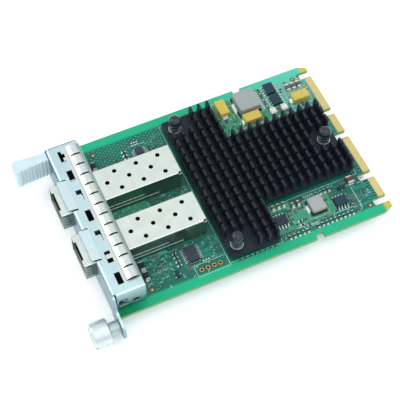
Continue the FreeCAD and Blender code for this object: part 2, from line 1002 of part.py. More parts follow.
def heatsink():
    left = column_x(0) - heatsink_edge
    right = column_x(fin_columns - 1) + fin_width_x + heatsink_edge
    narrow_left = column_x(narrow_first_column) - heatsink_edge
    narrow_right = column_x(narrow_first_column + narrow_columns - 1) + fin_width_x + heatsink_edge
    base = plan_prism(
        [
            (left, heatsink_front_y, heatsink_corner),
            (right, heatsink_front_y, heatsink_corner),
            (right, heatsink_wide_rear_y, heatsink_corner),
            (narrow_right, heatsink_wide_rear_y),
            (narrow_right, heatsink_rear_y, heatsink_corner),
            (narrow_left, heatsink_rear_y, heatsink_corner),
            (narrow_left, heatsink_wide_rear_y),
            (left, heatsink_wide_rear_y, heatsink_corner),
        ],
        heatsink_base_z,
        heatsink_base_top,
    )
    holes = []
    for x, y in push_pins:
        holes.append(small_hole(x, y, heatsink_base_z - 1, heatsink_base_top + 1, push_pin_hole_radius))
    base = base.cut(Part.makeCompound(holes))
    fins = []
    for x, y in fin_places():
        fins.append(
            centred_block(x, y, fin_width_x, fin_width_y, heatsink_base_top, heatsink_base_top + fin_height)
        )
    return base.fuse(fins)


def push_pin(x, y):
    """Plastic pin with a domed head, a shank and a split barb under the board."""
    head_top = push_pin_rim_z + push_pin_rim_height
    barb_z = -seat
    tip_z = barb_z - push_pin_barb_length
    profile = [
        (tip_z, 0),
        (barb_z, push_pin_barb_radius),
        (barb_z, push_pin_shank_radius),
        (push_pin_rim_z, push_pin_shank_radius),
        (push_pin_rim_z, push_pin_rim_radius),
        (head_top, push_pin_rim_radius),
        (head_top + push_pin_dome_height * 0.7, push_pin_rim_radius * 0.7),
        (head_top + push_pin_dome_height, 0),
    ]
    pin = turned_small(profile, V(x, y, 0), V(0, 0, 1), V(1, 0, 0), push_pin_sides)
    slit = centred_block(x, y, push_pin_slit, 2 * push_pin_barb_radius + 1, tip_z - 1, board_top)
    return pin.cut(slit)


def push_pin_spring(x, y):
    length = push_pin_rim_z - heatsink_base_top - 2 * seat
    spring = coil_spring(length, heatsink_spring_radius, heatsink_spring_turns, spring_wire)
    spring.translate(V(x, y, heatsink_base_top + seat))
    return spring


# ---- captive thumbscrew -----------------------------------------------------------------------
def thumbscrew_sleeve():
    """Flanged neck pressed into the plate; its front lip keeps the screw in."""
    profile = [
        (neck_front_y, screw_shank_radius + screw_play),
        (neck_front_y, neck_radius),
        (0, neck_radius),
        (0, neck_bore_radius),
        (neck_front_y + neck_lip, neck_bore_radius),
        (neck_front_y + neck_lip, screw_shank_radius + screw_play),
    ]
    return turned(profile, V(screw_axis_x, 0, screw_axis_z), V(0, 1, 0), V(1, 0, 0))


def thumbscrew():
    """Knurled knob, shank, retaining shoulder and tip, drawn back by its spring."""
    shoulder_front = neck_front_y + neck_lip + screw_play
    shoulder_rear = shoulder_front + screw_shoulder_length
    bore_end = neck_front_y - knob_bore_depth
    profile = [
        (knob_front_y, 0),
        (knob_front_y, knob_radius - knob_edge),
        (knob_front_y + knob_edge, knob_radius),
        (neck_front_y - knob_edge, knob_radius),
        (neck_front_y - seat, knob_radius - knob_edge),
        (neck_front_y - seat, knob_bore_radius),
        (bore_end, knob_bore_radius),
        (bore_end, screw_shank_radius),
        (shoulder_front, screw_shank_radius),
        (shoulder_front, screw_shoulder_radius),
        (shoulder_rear, screw_shoulder_radius),
        (shoulder_rear, screw_tip_radius),
        (screw_tip_y, screw_tip_radius),
        (screw_tip_y, 0),
    ]
    screw = turned(profile, V(screw_axis_x, 0, screw_axis_z), V(0, 1, 0), V(1, 0, 0))
    slot = block(
        screw_axis_x - knob_radius - 1,
        screw_axis_x + knob_radius + 1,
        knob_front_y - 1,
        knob_front_y + knob_slot_depth,
        screw_axis_z - knob_slot_width / 2,
        screw_axis_z + knob_slot_width / 2,
    )
    return screw.cut(slot)


def thumbscrew_spring():
    length = knob_bore_depth - 2 * seat
    spring = coil_spring(length, screw_spring_radius, screw_spring_turns, screw_spring_wire)
    spring.rotate(V(0, 0, 0), V(1, 0, 0), 90)
    spring.translate(V(screw_axis_x, neck_front_y - seat, screw_axis_z))
    return spring


# ---- pull tab and screws ------------------------------------------------------------------------
def pull_tab():
    """Moulded grip standing out from the plate, thicker at its end, ribbed on its inner side."""
    centre_x = pull_tab_x()
    root_half = pull_tab_root_thickness / 2
    end_half = pull_tab_end_thickness / 2
    ribbed = pull_tab_length - pull_tab_rib_free_length
    slope = (end_half - root_half) / pull_tab_length
    points = [(centre_x - root_half, 0), (centre_x + root_half, 0)]
    for i in range(pull_tab_rib_count):
        start = (i + 0.25) / pull_tab_rib_count * ribbed
        stop = (i + 1) / pull_tab_rib_count * ribbed
        start_x = centre_x + root_half + slope * start
        stop_x = centre_x + root_half + slope * stop
        points.append((start_x, -start))
        points.append((start_x - pull_tab_rib_depth, -start - pull_tab_rib_slant))
        points.append((stop_x - pull_tab_rib_depth, -stop + pull_tab_rib_slant))
        points.append((stop_x, -stop))
    points.append((centre_x + end_half, -pull_tab_length, pull_tab_end_radius))
    points.append((centre_x - end_half, -pull_tab_length, pull_tab_end_radius))
    tab = plan_prism(points, pull_tab_bottom_z, pull_tab_top_z)
    for z in pull_tab_screw_heights():
        tab = tab.cut(rod_y(centre_x, z, -pull_tab_screw_length, 1, pull_tab_screw_radius))
    return tab


def headed_screw(origin, direction, radial, head_radius, head_height, shank_radius, length):
    """Low-headed screw: the head's flat underside is at the origin."""
    profile = [
        (-head_height, 0),
        (-head_height, head_radius),
        (0, head_radius),
        (0, shank_radius),
        (length, shank_radius),
        (length, 0),
    ]
    return turned_small(profile, origin, direction, radial, small_round_sides)


def pull_tab_screws():
    screws = []
    for z in pull_tab_screw_heights():
        screws.append(
            headed_screw(
                V(pull_tab_x(), sheet, z),
                V(0, -1, 0),
                V(1, 0, 0),
                pull_tab_screw_head_radius,
                pull_tab_screw_head,
                pull_tab_screw_radius,
                sheet + pull_tab_screw_length - 0.5,
            )
        )
    return Part.makeCompound(screws)


def bracket_screws():
    screws = []
    for side in (-1, 1):
        screws.append(
            headed_screw(
                V(side * foot_hole_x, foot_hole_y, 0),
                V(0, 0, 1),
                V(1, 0, 0),
                bracket_screw_head_radius,
                bracket_screw_head,
                foot_hole_radius,
                board_top + sheet + 0.3,
            )
        )
    return Part.makeCompound(screws)


# ---- small parts on the board -----------------------------------------------------------------
# Places are distances in from the board's sides, and back from the flange or in from the card edge.
def front_left(in_from_side, behind_flange):
    return (-half_board + in_from_side, flange_depth + behind_flange)


def front_right(in_from_side, behind_flange):
    return (half_board - in_from_side, flange_depth + behind_flange)


def rear_left(in_from_side, from_end):
    return (-half_board + in_from_side, card_length - from_end)


def rear_right(in_from_side, from_end):
    return (half_board - in_from_side, card_length - from_end)


def chip_package(place, size_x, size_y, top):
    """Moulded package with a chamfered top edge, raised a little off the board."""
    body = centred_block(place[0], place[1], size_x, size_y, board_top + package_standoff, top)
    upper = [edge for edge in body.Edges if abs(edge.CenterOfMass.z - top) < 0.001]
    return body.makeChamfer(0.15, upper)


def package_leads(place, size_x, size_y, top, pitch, count, along_x):
    """Leads down two opposite sides of a package."""
    x, y = place
    leads = []
    z = (board_top + top) / 2 + lead_thickness / 2
    width = pitch * 0.35
    for i in range(count):
        offset = (i - (count - 1) / 2) * pitch
        for side in (-1, 1):
            if along_x:
                leads.append(lead(x + offset, y + side * size_y / 2, z, lead_reach, width, 0, side))
            else:
                leads.append(lead(x + side * size_x / 2, y + offset, z, lead_reach, width, side, 0))
    return leads


# name: place, size x, size y, top z, lead pitch
packages = {
    "voltage_regulator_left": (rear_left(5.7, 19.0), 5.0, 3.9, 3.2, 1.27),
    "voltage_regulator_right": (rear_left(11.7, 19.0), 5.0, 3.9, 3.2, 1.27),
    "flash_memory_chip": (rear_right(10.8, 17.6), 3.9, 5.0, 3.2, 1.27),
    "power_switch_chip": (rear_right(12.4, 42.4), 3.9, 4.9, 2.9, 1.27),
    "clock_buffer_chip": (front_left(12.1, 22.6), 3.2, 3.2, 2.6, 0.65),
    "bus_expander_chip": (front_right(13.4, 22.5), 6.5, 4.4, 2.7, 0.65),
}
packages_with_side_leads = ("flash_memory_chip", "power_switch_chip")
packages_with_many_leads = ("bus_expander_chip",)


def chip_leads():
    leads = []
    for name, dimensions in packages.items():
        count = many_lead_count if name in packages_with_many_leads else few_lead_count
        leads += package_leads(*dimensions, count, name not in packages_with_side_leads)
    return Part.makeCompound(leads)


def tantalum_capacitor(place, size_x, size_y):
    low = board_top + tantalum_foot_height
    body = centred_block(place[0], place[1], size_x, size_y, low, tantalum_top)
    upper = [edge for edge in body.Edges if abs(edge.CenterOfMass.z - tantalum_top) < 0.001]
    return body.makeChamfer(0.3, upper)


# place, size x, size y
tantalums = (
    (rear_left(7.4, 41.2), tantalum_length, tantalum_width),
    (rear_left(16.1, 31.8), tantalum_width, tantalum_length),
    (rear_left(14.4, 9.4), tantalum_width, tantalum_length),
)


def capacitor_terminals():
    """Tinned feet folded under each end of the moulded capacitors."""
    feet = []
    out = tantalum_length / 2 - 0.4
    foot_top = board_top + tantalum_foot_height
    for (x, y), size_x, size_y in tantalums:
        for side in (-1, 1):
            if size_x > size_y:
                feet.append(centred_block(x + side * out, y, 1.3, 2.4, board_top, foot_top))
            else:
                feet.append(centred_block(x, y + side * out, 2.4, 1.3, board_top, foot_top))
    return Part.makeCompound(feet)


def power_inductor(place, size_x, size_y, base_height, top):
    """Pressed ferrite block over a slightly wider terminal base."""
    x, y = place
    base = centred_block(x, y, size_x, size_y, board_top, board_top + base_height)
    body = centred_block(x, y, size_x - 0.5, size_y - 0.5, board_top + base_height, top)
    upright = [edge for edge in body.Edges if abs(edge.tangentAt(edge.FirstParameter).z) > 0.9]
    body = body.makeChamfer(0.5, upright)
    upper = [edge for edge in body.Edges if abs(edge.CenterOfMass.z - top) < 0.001]
    body = body.makeChamfer(0.25, upper)
    return fuse_all([base, body])


def chip_row(start, step_x, step_y, count, size_x, size_y, height):
    """Evenly spaced chip components on the board."""
    parts = []
    for i in range(count):
        x = start[0] + i * step_x
        y = start[1] + i * step_y
        parts.append(centred_block(x, y, size_x, size_y, board_top, board_top + height))
    return parts


def ceramic_capacitors():
    parts = chip_row(rear_left(8.1, 11.7), 0, 2.4, 3, 3.2, 1.6, 1.2)
    parts += chip_row(rear_right(18.1, 9.9), 0, 1, 1, 3.2, 2.5, 1.4)
    parts += chip_row(rear_left(16.4, 22.4), 0, 5.0, 2, 3.2, 2.5, 1.4)
    parts += chip_row(rear_right(18.8, 42.8), 0, 2.2, 3, 2.0, 1.25, 0.9)
    parts += chip_row(rear_right(17.0, 35.2), 0, 2.4, 2, 2.0, 1.25, 0.9)
    parts += chip_row(rear_left(4.8, 52.1), 0, 2.4, 2, 1.6, 0.8, 0.8)
    parts += chip_row(front_left(18.0, 20.6), 0, 3.2, 2, 1.25, 2.0, 0.9)
    return Part.makeCompound(parts)


def chip_resistors():
    parts = chip_row(rear_right(4.6, 42.4), 0, 1.9, 5, 1.6, 0.8, 0.5)
    parts += chip_row(rear_right(4.8, 30.2), 0, 1.85, 9, 1.6, 0.8, 0.5)
    parts += chip_row(rear_right(9.4, 35.6), 1.7, 0, 2, 0.8, 1.6, 0.5)
    parts += chip_row(rear_right(17.8, 24.6), 0, 1.8, 4, 1.6, 0.8, 0.5)
    parts += chip_row(front_right(16.0, 16.6), 1.8, 0, 4, 0.8, 1.6, 0.5)
    parts += chip_row(front_left(10.0, 16.8), 1.8, 0, 4, 0.8, 1.6, 0.5)
    return Part.makeCompound(parts)


def noise_filters():
    parts = chip_row(front_left(11.7, 3.5), 4.3, 0, 2, 3.2, 1.8, 1.3)
    parts += chip_row(front_right(16.0, 3.5), 4.4, 0, 2, 3.2, 1.8, 1.3)
    return Part.makeCompound(parts)


def transistor(place, long_x):
    """Three-legged package: two feet on one long side and one on the other."""
    x, y = place
    height = board_top + 1.1
    if long_x:
        parts = [centred_block(x, y, 2.9, 1.4, board_top + package_standoff, height)]
        feet = ((-0.95, 0.95), (0.95, 0.95), (0, -0.95))
    else:
        parts = [centred_block(x, y, 1.4, 2.9, board_top + package_standoff, height)]
        feet = ((0.95, -0.95), (0.95, 0.95), (-0.95, 0))
    for out_x, out_y in feet:
        parts.append(centred_block(x + out_x, y + out_y, 0.6, 0.6, board_top, board_top + 0.4))
    return fuse_all(parts)


def small_transistors():
    return Part.makeCompound(
        [transistor(front_right(7.6, 14.4), True), transistor(rear_right(16.4, 14.4), False)]
    )


def underside_capacitors():
    """Decoupling parts on the underside, below the processor."""
    parts = []
    for i in range(5):
        for j in range(4):
            x = heatsink_centre_x + (i - 2) * 3.4
            y = chip_centre_y + (j - 1.5) * 4.2
            parts.append(centred_block(x, y, 1.6, 0.8, -0.8, 0))
    return Part.makeCompound(parts)


# ---- all nodes -----------------------------------------------------------------------------------
def build():
    nodes = {
        "circuit_board": circuit_board(),
        "edge_contacts_top": edge_contacts(board_top),
        "edge_contacts_bottom": edge_contacts(-contact_thickness),
        "faceplate": faceplate(),
        "emi_finger_strip": emi_finger_strip(),
        "controller_chip": controller_chip(),
        "thermal_pad": thermal_pad(),
        "heatsink": heatsink(),
        "thumbscrew": thumbscrew(),
        "thumbscrew_sleeve": thumbscrew_sleeve(),
        "thumbscrew_spring": thumbscrew_spring(),
        "pull_tab": pull_tab(),
        "pull_tab_screws": pull_tab_screws(),
        "bracket_screws": bracket_screws(),
        "power_inductor_large": power_inductor(rear_left(8.8, 31.0), 10.0, 9.6, 0.9, 6.0),
        "power_inductor_small": power_inductor(rear_right(12.8, 27.2), 6.9, 6.3, 1.0, 4.6),
        "capacitor_terminals": capacitor_terminals(),
        "chip_leads": chip_leads(),
        "ceramic_capacitors": ceramic_capacitors(),
        "chip_resistors": chip_resistors(),
        "noise_filters": noise_filters(),
        "small_transistors": small_transistors(),
        "underside_capacitors": underside_capacitors(),
    }
    for number, centre in enumerate(port_centres, 1):
        nodes["sfp_cage_%d" % number] = sfp_cage(centre)
        nodes["sfp_connector_%d" % number] = sfp_connector(centre)
        nodes["sfp_contacts_%d" % number] = sfp_connector_contacts(centre)
    for number, (x, y) in enumerate(push_pins, 1):
        nodes["push_pin_%d" % number] = push_pin(x, y)
        nodes["push_pin_spring_%d" % number] = push_pin_spring(x, y)
    for number, tantalum in enumerate(tantalums, 1):
        nodes["tantalum_capacitor_%d" % number] = tantalum_capacitor(*tantalum)
    for name, (place, size_x, size_y, top, pitch) in packages.items():
        nodes[name] = chip_package(place, size_x, size_y, top)
    return nodes


def main():
    os.makedirs("parts", exist_ok=True)
    for name, shape in build().items():
        shape.exportStep("parts/%s.step" % name)
        report = (name, len(shape.Solids), shape.Volume, shape.isValid())
        print("%-26s solids %3d  volume %9.2f  valid %s" % report)


main()
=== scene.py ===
"""Looks for the network interface card: materials, board artwork, small parts, light and camera.

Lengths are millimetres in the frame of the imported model, and become metres where a mesh is built:
+Y is the way the card goes into the server, +X is right seen from the front, +Z is up, and the
board's underside is at z = 0. Materials work in metres, as their coordinates do.
"""
import math
import random

import bpy
from mathutils import Matrix, Vector


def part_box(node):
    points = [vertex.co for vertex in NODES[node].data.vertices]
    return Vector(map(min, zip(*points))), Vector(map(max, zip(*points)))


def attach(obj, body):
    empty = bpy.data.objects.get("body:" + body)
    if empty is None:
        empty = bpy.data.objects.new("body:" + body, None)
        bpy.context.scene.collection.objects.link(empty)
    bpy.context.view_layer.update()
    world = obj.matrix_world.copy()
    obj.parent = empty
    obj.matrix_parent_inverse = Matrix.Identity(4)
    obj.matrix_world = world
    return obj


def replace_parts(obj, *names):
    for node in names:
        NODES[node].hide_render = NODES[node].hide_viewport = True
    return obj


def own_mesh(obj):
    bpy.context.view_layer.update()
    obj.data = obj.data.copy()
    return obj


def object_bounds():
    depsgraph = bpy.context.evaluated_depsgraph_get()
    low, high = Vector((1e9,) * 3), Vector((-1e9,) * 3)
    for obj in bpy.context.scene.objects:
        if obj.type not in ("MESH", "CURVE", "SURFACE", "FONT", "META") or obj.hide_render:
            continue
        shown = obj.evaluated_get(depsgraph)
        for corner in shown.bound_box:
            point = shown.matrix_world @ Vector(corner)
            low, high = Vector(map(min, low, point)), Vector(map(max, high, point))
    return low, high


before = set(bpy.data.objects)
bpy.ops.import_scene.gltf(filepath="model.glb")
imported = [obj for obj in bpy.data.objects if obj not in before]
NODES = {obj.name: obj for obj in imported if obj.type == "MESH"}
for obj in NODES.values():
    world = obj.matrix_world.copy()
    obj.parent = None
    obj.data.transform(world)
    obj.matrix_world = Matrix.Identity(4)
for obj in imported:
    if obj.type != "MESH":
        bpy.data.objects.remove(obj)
cad_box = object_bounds()
MM = 0.001
rng = random.Random(7)


# ---- places taken from the frame ----
def box_of(node):
    """Lowest and highest corner of a CAD node."""
    low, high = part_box(node)
    return Vector(low) / MM, Vector(high) / MM


def solid_boxes(node):
    """Lowest and highest corner of each separate solid in a CAD node."""
    mesh = NODES[node].data
    parent = list(range(len(mesh.vertices)))

    def find(i):
        while parent[i] != i:
            parent[i] = parent[parent[i]]
            i = parent[i]
        return i

    first_at = {}
    for vertex in mesh.vertices:
        same = first_at.setdefault(tuple(round(c, 7) for c in vertex.co), vertex.index)
        parent[find(vertex.index)] = find(same)
    for edge in mesh.edges:
        parent[find(edge.vertices[0])] = find(edge.vertices[1])
    groups = {}
    for vertex in mesh.vertices:
        groups.setdefault(find(vertex.index), []).append(vertex.co)
    boxes = [[Vector(map(pick, zip(*points))) / MM for pick in (min, max)] for points in groups.values()]
    return sorted(boxes, key=lambda box: tuple(round(c, 3) for c in box[0]))


def around(x, y, half_x, half_y=None):
    """Sides of a patch about a point."""
    half_y = half_x if half_y is None else half_y
    return x - half_x, x + half_x, y - half_y, y + half_y


def grown(box, by_x, by_y=None):
    """Sides in plan of a box with a border."""
    by_y = by_x if by_y is None else by_y
    return box[0].x - by_x, box[1].x + by_x, box[0].y - by_y, box[1].y + by_y


def spans(low, high):
    """Long axis of a box in plan, and the box's two ends along that axis and across it."""
    axis = 0 if high.x - low.x > high.y - low.y else 1
    return axis, (low[axis], high[axis]), (low[1 - axis], high[1 - axis])


def spot(axis, along, across, z):
    """Point from its distances along an axis in plan and across it, and its height."""
    return (across, along, z) if axis else (along, across, z)


def centred(ends, share):
    """The middle part of a span."""
    middle, half = sum(ends) / 2, (ends[1] - ends[0]) * share / 2
    return middle - half, middle + half


def turned(axis, *values):
    """Values for an axis and for the two that follow it, put in the order X, Y, Z."""
    return [values[(i - axis) % 3] for i in range(3)]


BOARD_HIGH = box_of("circuit_board")[1]
BOARD_TOP = BOARD_HIGH.z
SINK_LOW, SINK_HIGH = box_of("heatsink")
PLATE_LOW, PLATE_HIGH = box_of("faceplate")
FLANGE_REAR = PLATE_HIGH.y
FLANGE_TOP = 12.35
CAGES = [box_of("sfp_cage_1"), box_of("sfp_cage_2")]
SMALL_PACKAGES = (
    "voltage_regulator_left",
    "voltage_regulator_right",
    "flash_memory_chip",
    "power_switch_chip",
    "clock_buffer_chip",
    "bus_expander_chip",
)


def heatsink_step():
    """Rear edge of the heatsink's wide part, and the two sides of its narrow part."""
    corner = 1.0
    points = [vertex.co / MM for vertex in NODES["heatsink"].data.vertices]
    wide_rear = max(p.y for p in points if p.x > SINK_HIGH.x - corner)
    rear = [p.x for p in points if p.y > SINK_HIGH.y - corner / 2]
    return wide_rear, min(rear) - corner / 2, max(rear) + corner / 2


WIDE_REAR, NARROW_LEFT, NARROW_RIGHT = heatsink_step()


# ---- material helpers ----
class Nodes:
    """Short calls for the nodes of a material or world; a value is a number, a colour or a socket."""

    def __init__(self, owner):
        owner.use_nodes = True
        self.tree = owner.node_tree

    def put(self, socket, value):
        """Joins a socket to another, or gives it a value of its own."""
        if isinstance(value, bpy.types.NodeSocket):
            self.tree.links.new(value, socket)
        elif socket.type == "RGBA":
            socket.default_value = (*value, 1)
        else:
            socket.default_value = value

    def add(self, kind, inputs, **settings):
        node = self.tree.nodes.new(kind)
        for name, value in settings.items():
            setattr(node, name, value)
        for name, value in inputs.items():
            self.put(node.inputs[name], value)
        return node.outputs

    def noise(self, scale, detail=3, stretch=None):
        """Noise over the object's own metres; stretch scales the axes for brushed marks."""
        point = self.add("ShaderNodeTexCoord", {})["Object"]
        if stretch:
            point = self.add("ShaderNodeMapping", {"Vector": point, "Scale": stretch})["Vector"]
        return self.add("ShaderNodeTexNoise", {"Vector": point, "Scale": scale, "Detail": detail})["Fac"]

    def ramp(self, factor, *stops):
        """Colour ramp; stops are (position, colour)."""
        node = self.tree.nodes.new("ShaderNodeValToRGB")
        elements = node.color_ramp.elements
        while len(elements) < len(stops):
            elements.new(0.5)
        for element, (position, color) in zip(elements, stops):
            element.position = position
            element.color = (*color, 1)
        self.put(node.inputs["Fac"], factor)
        return node.outputs["Color"]

    def mottle(self, factor, color, low, high):
        """A colour that wanders between two shades of itself."""
        return self.ramp(factor, (0.3, shade(color, low)), (0.7, shade(color, high)))

    def remap(self, value, start, stop, low=0, high=1):
        inputs = {"Value": value, "From Min": start, "From Max": stop, "To Min": low, "To Max": high}
        return self.add("ShaderNodeMapRange", inputs)["Result"]

    def math(self, operation, first, second=0):
        return self.add("ShaderNodeMath", {0: first, 1: second}, operation=operation)[0]

    def mix(self, factor, first, second):
        return self.add("ShaderNodeMix", {"Factor": factor, 6: first, 7: second}, data_type="RGBA")[2]

    def split(self, kind, output):
        """X, Y and Z of a coordinate or of the surface normal."""
        return self.add("ShaderNodeSeparateXYZ", {"Vector": self.add(kind, {})[output]})

    def position(self):
        return self.split("ShaderNodeTexCoord", "Object")

    def normal(self):
        return self.split("ShaderNodeNewGeometry", "Normal")


class Look(Nodes):
    """A principled material with plain socket values, to be dressed by the functions below."""

    def __init__(self, name, color, roughness, metallic=0.0, specular=0.5):
        self.material = bpy.data.materials.new(name)
        super().__init__(self.material)
        self.shader = self.tree.nodes["Principled BSDF"].inputs
        self.give("Base Color", color)
        self.give("Roughness", roughness)
        self.give("Metallic", metallic)
        self.give("Specular IOR Level", specular)

    def give(self, name, value):
        self.put(self.shader[name], value)

    def roughen(self, pattern, low, high):
        self.give("Roughness", self.remap(pattern, 0.3, 0.7, low, high))

    def bump(self, height, strength, distance, rounding=0.0):
        """Fine relief; rounding softens hard edges by a radius."""
        inputs = {"Height": height, "Strength": strength, "Distance": distance}
        if rounding:
            inputs["Normal"] = self.add("ShaderNodeBevel", {"Radius": rounding}, samples=4)["Normal"]
        self.give("Normal", self.add("ShaderNodeBump", inputs)["Normal"])


def shade(color, factor):
    return tuple(min(1, channel * factor) for channel in color)


def dressed(name, color, roughness, metallic=0.0, specular=0.5, spread=0.08, scale=900, rough_spread=0.08,
            strength=0.15, coat=0.0, rounding=0.0):
    """Material with fine colour, roughness and surface variation."""
    look = Look(name, color, roughness, metallic, specular)
    fine, broad = look.noise(scale), look.noise(scale * 0.2)
    tone = look.mottle(fine, color, 1 - spread, 1 + spread)
    worn = look.remap(broad, 0.35, 0.65, 0, spread * 2)
    look.give("Base Color", look.mix(worn, tone, shade(color, 0.8)))
    look.roughen(broad, roughness - rough_spread, roughness + rough_spread)
    look.bump(fine, strength, 0.00002, rounding)
    if coat:
        look.give("Coat Weight", coat)
        look.give("Coat Roughness", 0.12)
    return look.material


def metal(name, color, roughness, **options):
    usual = {"spread": 0.05, "scale": 1500, "strength": 0.06, "rough_spread": roughness * 0.25}
    return dressed(name, color, roughness, metallic=1.0, **{**usual, **options})


def plastic(name, color, roughness, **options):
    return dressed(name, color, roughness, **{"specular": 0.3, "spread": 0.1, **options})


# ---- the materials ----
def board_material():
    """Solder mask: teal field with woven glass below, emerald margins darkened by painted shade near the
    faceplate, bare laminate at its edges.
    """
    look = Look("solder_mask", (0.02, 0.25, 0.18), 0.3, specular=0.28)
    across, along, _ = look.position()
    clouds, weave = look.noise(60, detail=2), look.noise(1400, detail=1)
    field = look.ramp(clouds, (0.3, (0.004, 0.098, 0.078)), (0.7, (0.010, 0.150, 0.112)))
    field = look.mix(look.remap(weave, 0.35, 0.65, 0, 0.22), field, (0.02, 0.24, 0.16))
    far_corner = look.math(
        "MULTIPLY", look.remap(along, 0.064, 0.098, 0, 0.95), look.remap(across, 0.006, -0.026)
    )
    field = look.mix(far_corner, field, (0.15, 0.46, 0.38))
    # painted shade: the margin starts near black-green by the faceplate, as the bracket's shadow on the
    # board
    margin = look.ramp(
        look.remap(along, 0, 0.115),
        (0.06, (0.002, 0.26, 0.10)),
        (0.13, (0.006, 0.42, 0.22)),
        (0.95, (0.008, 0.42, 0.215)),
    )
    margin = look.mix(far_corner, margin, (0.09, 0.55, 0.40))
    tone = look.mix(look.remap(look.math("ABSOLUTE", across), 0.0336, 0.0346), field, margin)
    bare_from = (BOARD_HIGH.y - 3.1) * MM
    bare = look.remap(along, bare_from - 0.3 * MM, bare_from + 0.7 * MM)
    tone = look.mix(bare, tone, (0.55, 0.46, 0.08))
    edge = look.remap(look.math("ABSOLUTE", look.normal()[2]), 0.3, 0.6, 1, 0)
    look.give("Base Color", look.mix(edge, tone, (0.16, 0.33, 0.10)))
    look.roughen(clouds, 0.26, 0.38)
    look.bump(weave, 0.1, 0.00002)
    return look.material


def plate_material():
    """Zinc-plated sheet with faint blotches and rolling lines; painted shade darkens its sides and front,
    and painted light brightens the hood over the ports.
    """
    light, hood_painted_light = (0.57, 0.76, 0.80), (0.68, 0.85, 0.88)
    side, front = (0.33, 0.49, 0.52), (0.22, 0.33, 0.39)
    look = Look("zinc_sheet", light, 0.34, 1.0)
    tone = look.mottle(look.noise(130, detail=4), light, 0.93, 1.06)
    across, along, height = look.position()
    cage_centre = abs(CAGES[0][0].x + CAGES[0][1].x) / 2 * MM
    from_cage = look.math("ABSOLUTE", look.math("ADD", look.math("ABSOLUTE", across), -cage_centre))
    # lip marks the hood over each port, which gets painted light: a lighter copy of the zinc
    lip = look.remap(from_cage, 0.0066, 0.0068, 1, 0)
    lip = look.math("MULTIPLY", lip, look.remap(along, 0.0024, 0.0027, 1, 0))
    lip = look.math("MULTIPLY", lip, look.remap(height, 0.0118, 0.0121))
    tone = look.mix(lip, tone, hood_painted_light)
    normal = look.normal()
    # painted shade: faces towards X and faces towards -Y get darker copies of the zinc
    tone = look.mix(look.remap(look.math("ABSOLUTE", normal[0]), 0.5, 0.9), tone, side)
    tone = look.mix(look.remap(look.math("MULTIPLY", normal[1], -1), 0.3, 0.9), tone, front)
    look.give("Base Color", tone)
    lines = look.noise(300, stretch=(1, 12, 1))
    look.roughen(lines, 0.29, 0.42)
    look.bump(lines, 0.05, 0.00001, 0.00025)
    return look.material


def finger_material():
    """Bright rolled spring sheet, with painted shade on the slope that faces the heatsink."""
    light, painted_shade_tone = (0.70, 0.79, 0.75), (0.36, 0.46, 0.45)
    look = Look("finger_sheet", light, 0.24, 1.0)
    lines = look.noise(700, stretch=(6, 1, 1))
    # painted shade: the slope facing +Y, towards the heatsink, gets a darker copy of the sheet
    rear_slope_shade_mask = look.remap(look.normal()[1], 0.2, 0.6)
    look.give("Base Color", look.mix(rear_slope_shade_mask, look.mottle(lines, light, 0.94, 1.04), painted_shade_tone))
    look.roughen(lines, 0.2, 0.3)
    look.bump(lines, 0.05, 0.00001)
    return look.material


def cage_material():
    """Satin nickel sheet with a faint grain: its own tone on top, painted shade and painted reflection of
    the board on the side walls.
    """
    light, painted_shade_tone = (0.72, 0.79, 0.75), (0.25, 0.31, 0.29)
    look = Look("cage_sheet", light, 0.3, 1.0)
    clouds = look.noise(260)
    # painted shade and painted reflection: walls facing X get a darker, greener copy of the nickel
    sideways = look.remap(look.math("ABSOLUTE", look.normal()[0]), 0.5, 0.9)
    look.give("Base Color", look.mix(sideways, look.mottle(clouds, light, 0.96, 1.03), painted_shade_tone))
    look.roughen(clouds, 0.26, 0.36)
    look.bump(look.noise(1800, detail=1), 0.03, 0.00001, 0.0001)
    return look.material


def tab_material():
    """Pale translucent grip plastic."""
    look = Look("tab_plastic", (0.58, 0.74, 0.79), 0.3)
    clouds = look.noise(200)
    look.give("Base Color", look.ramp(clouds, (0.3, (0.54, 0.70, 0.75)), (0.7, (0.61, 0.76, 0.81))))
    look.give("Subsurface Weight", 0.15)
    look.give("Subsurface Radius", (0.003, 0.004, 0.004))
    look.give("Subsurface Scale", 1.0)
    look.bump(look.noise(2500), 0.1, 0.00001, 0.0003)
    return look.material


def ferrite_material(name, top, base_height):
    """Pressed ferrite block: pale grey, near black below a given height."""
    look = Look(name, top, 0.5, specular=0.3)
    grain = look.noise(3200, detail=2)
    dark = look.remap(look.position()[2], base_height, base_height + 0.0004, 1, 0)
    look.give("Base Color", look.mix(dark, look.mottle(grain, top, 0.86, 1.12), (0.02, 0.022, 0.026)))
    look.bump(grain, 0.2, 0.00002, 0.00015)
    return look.material


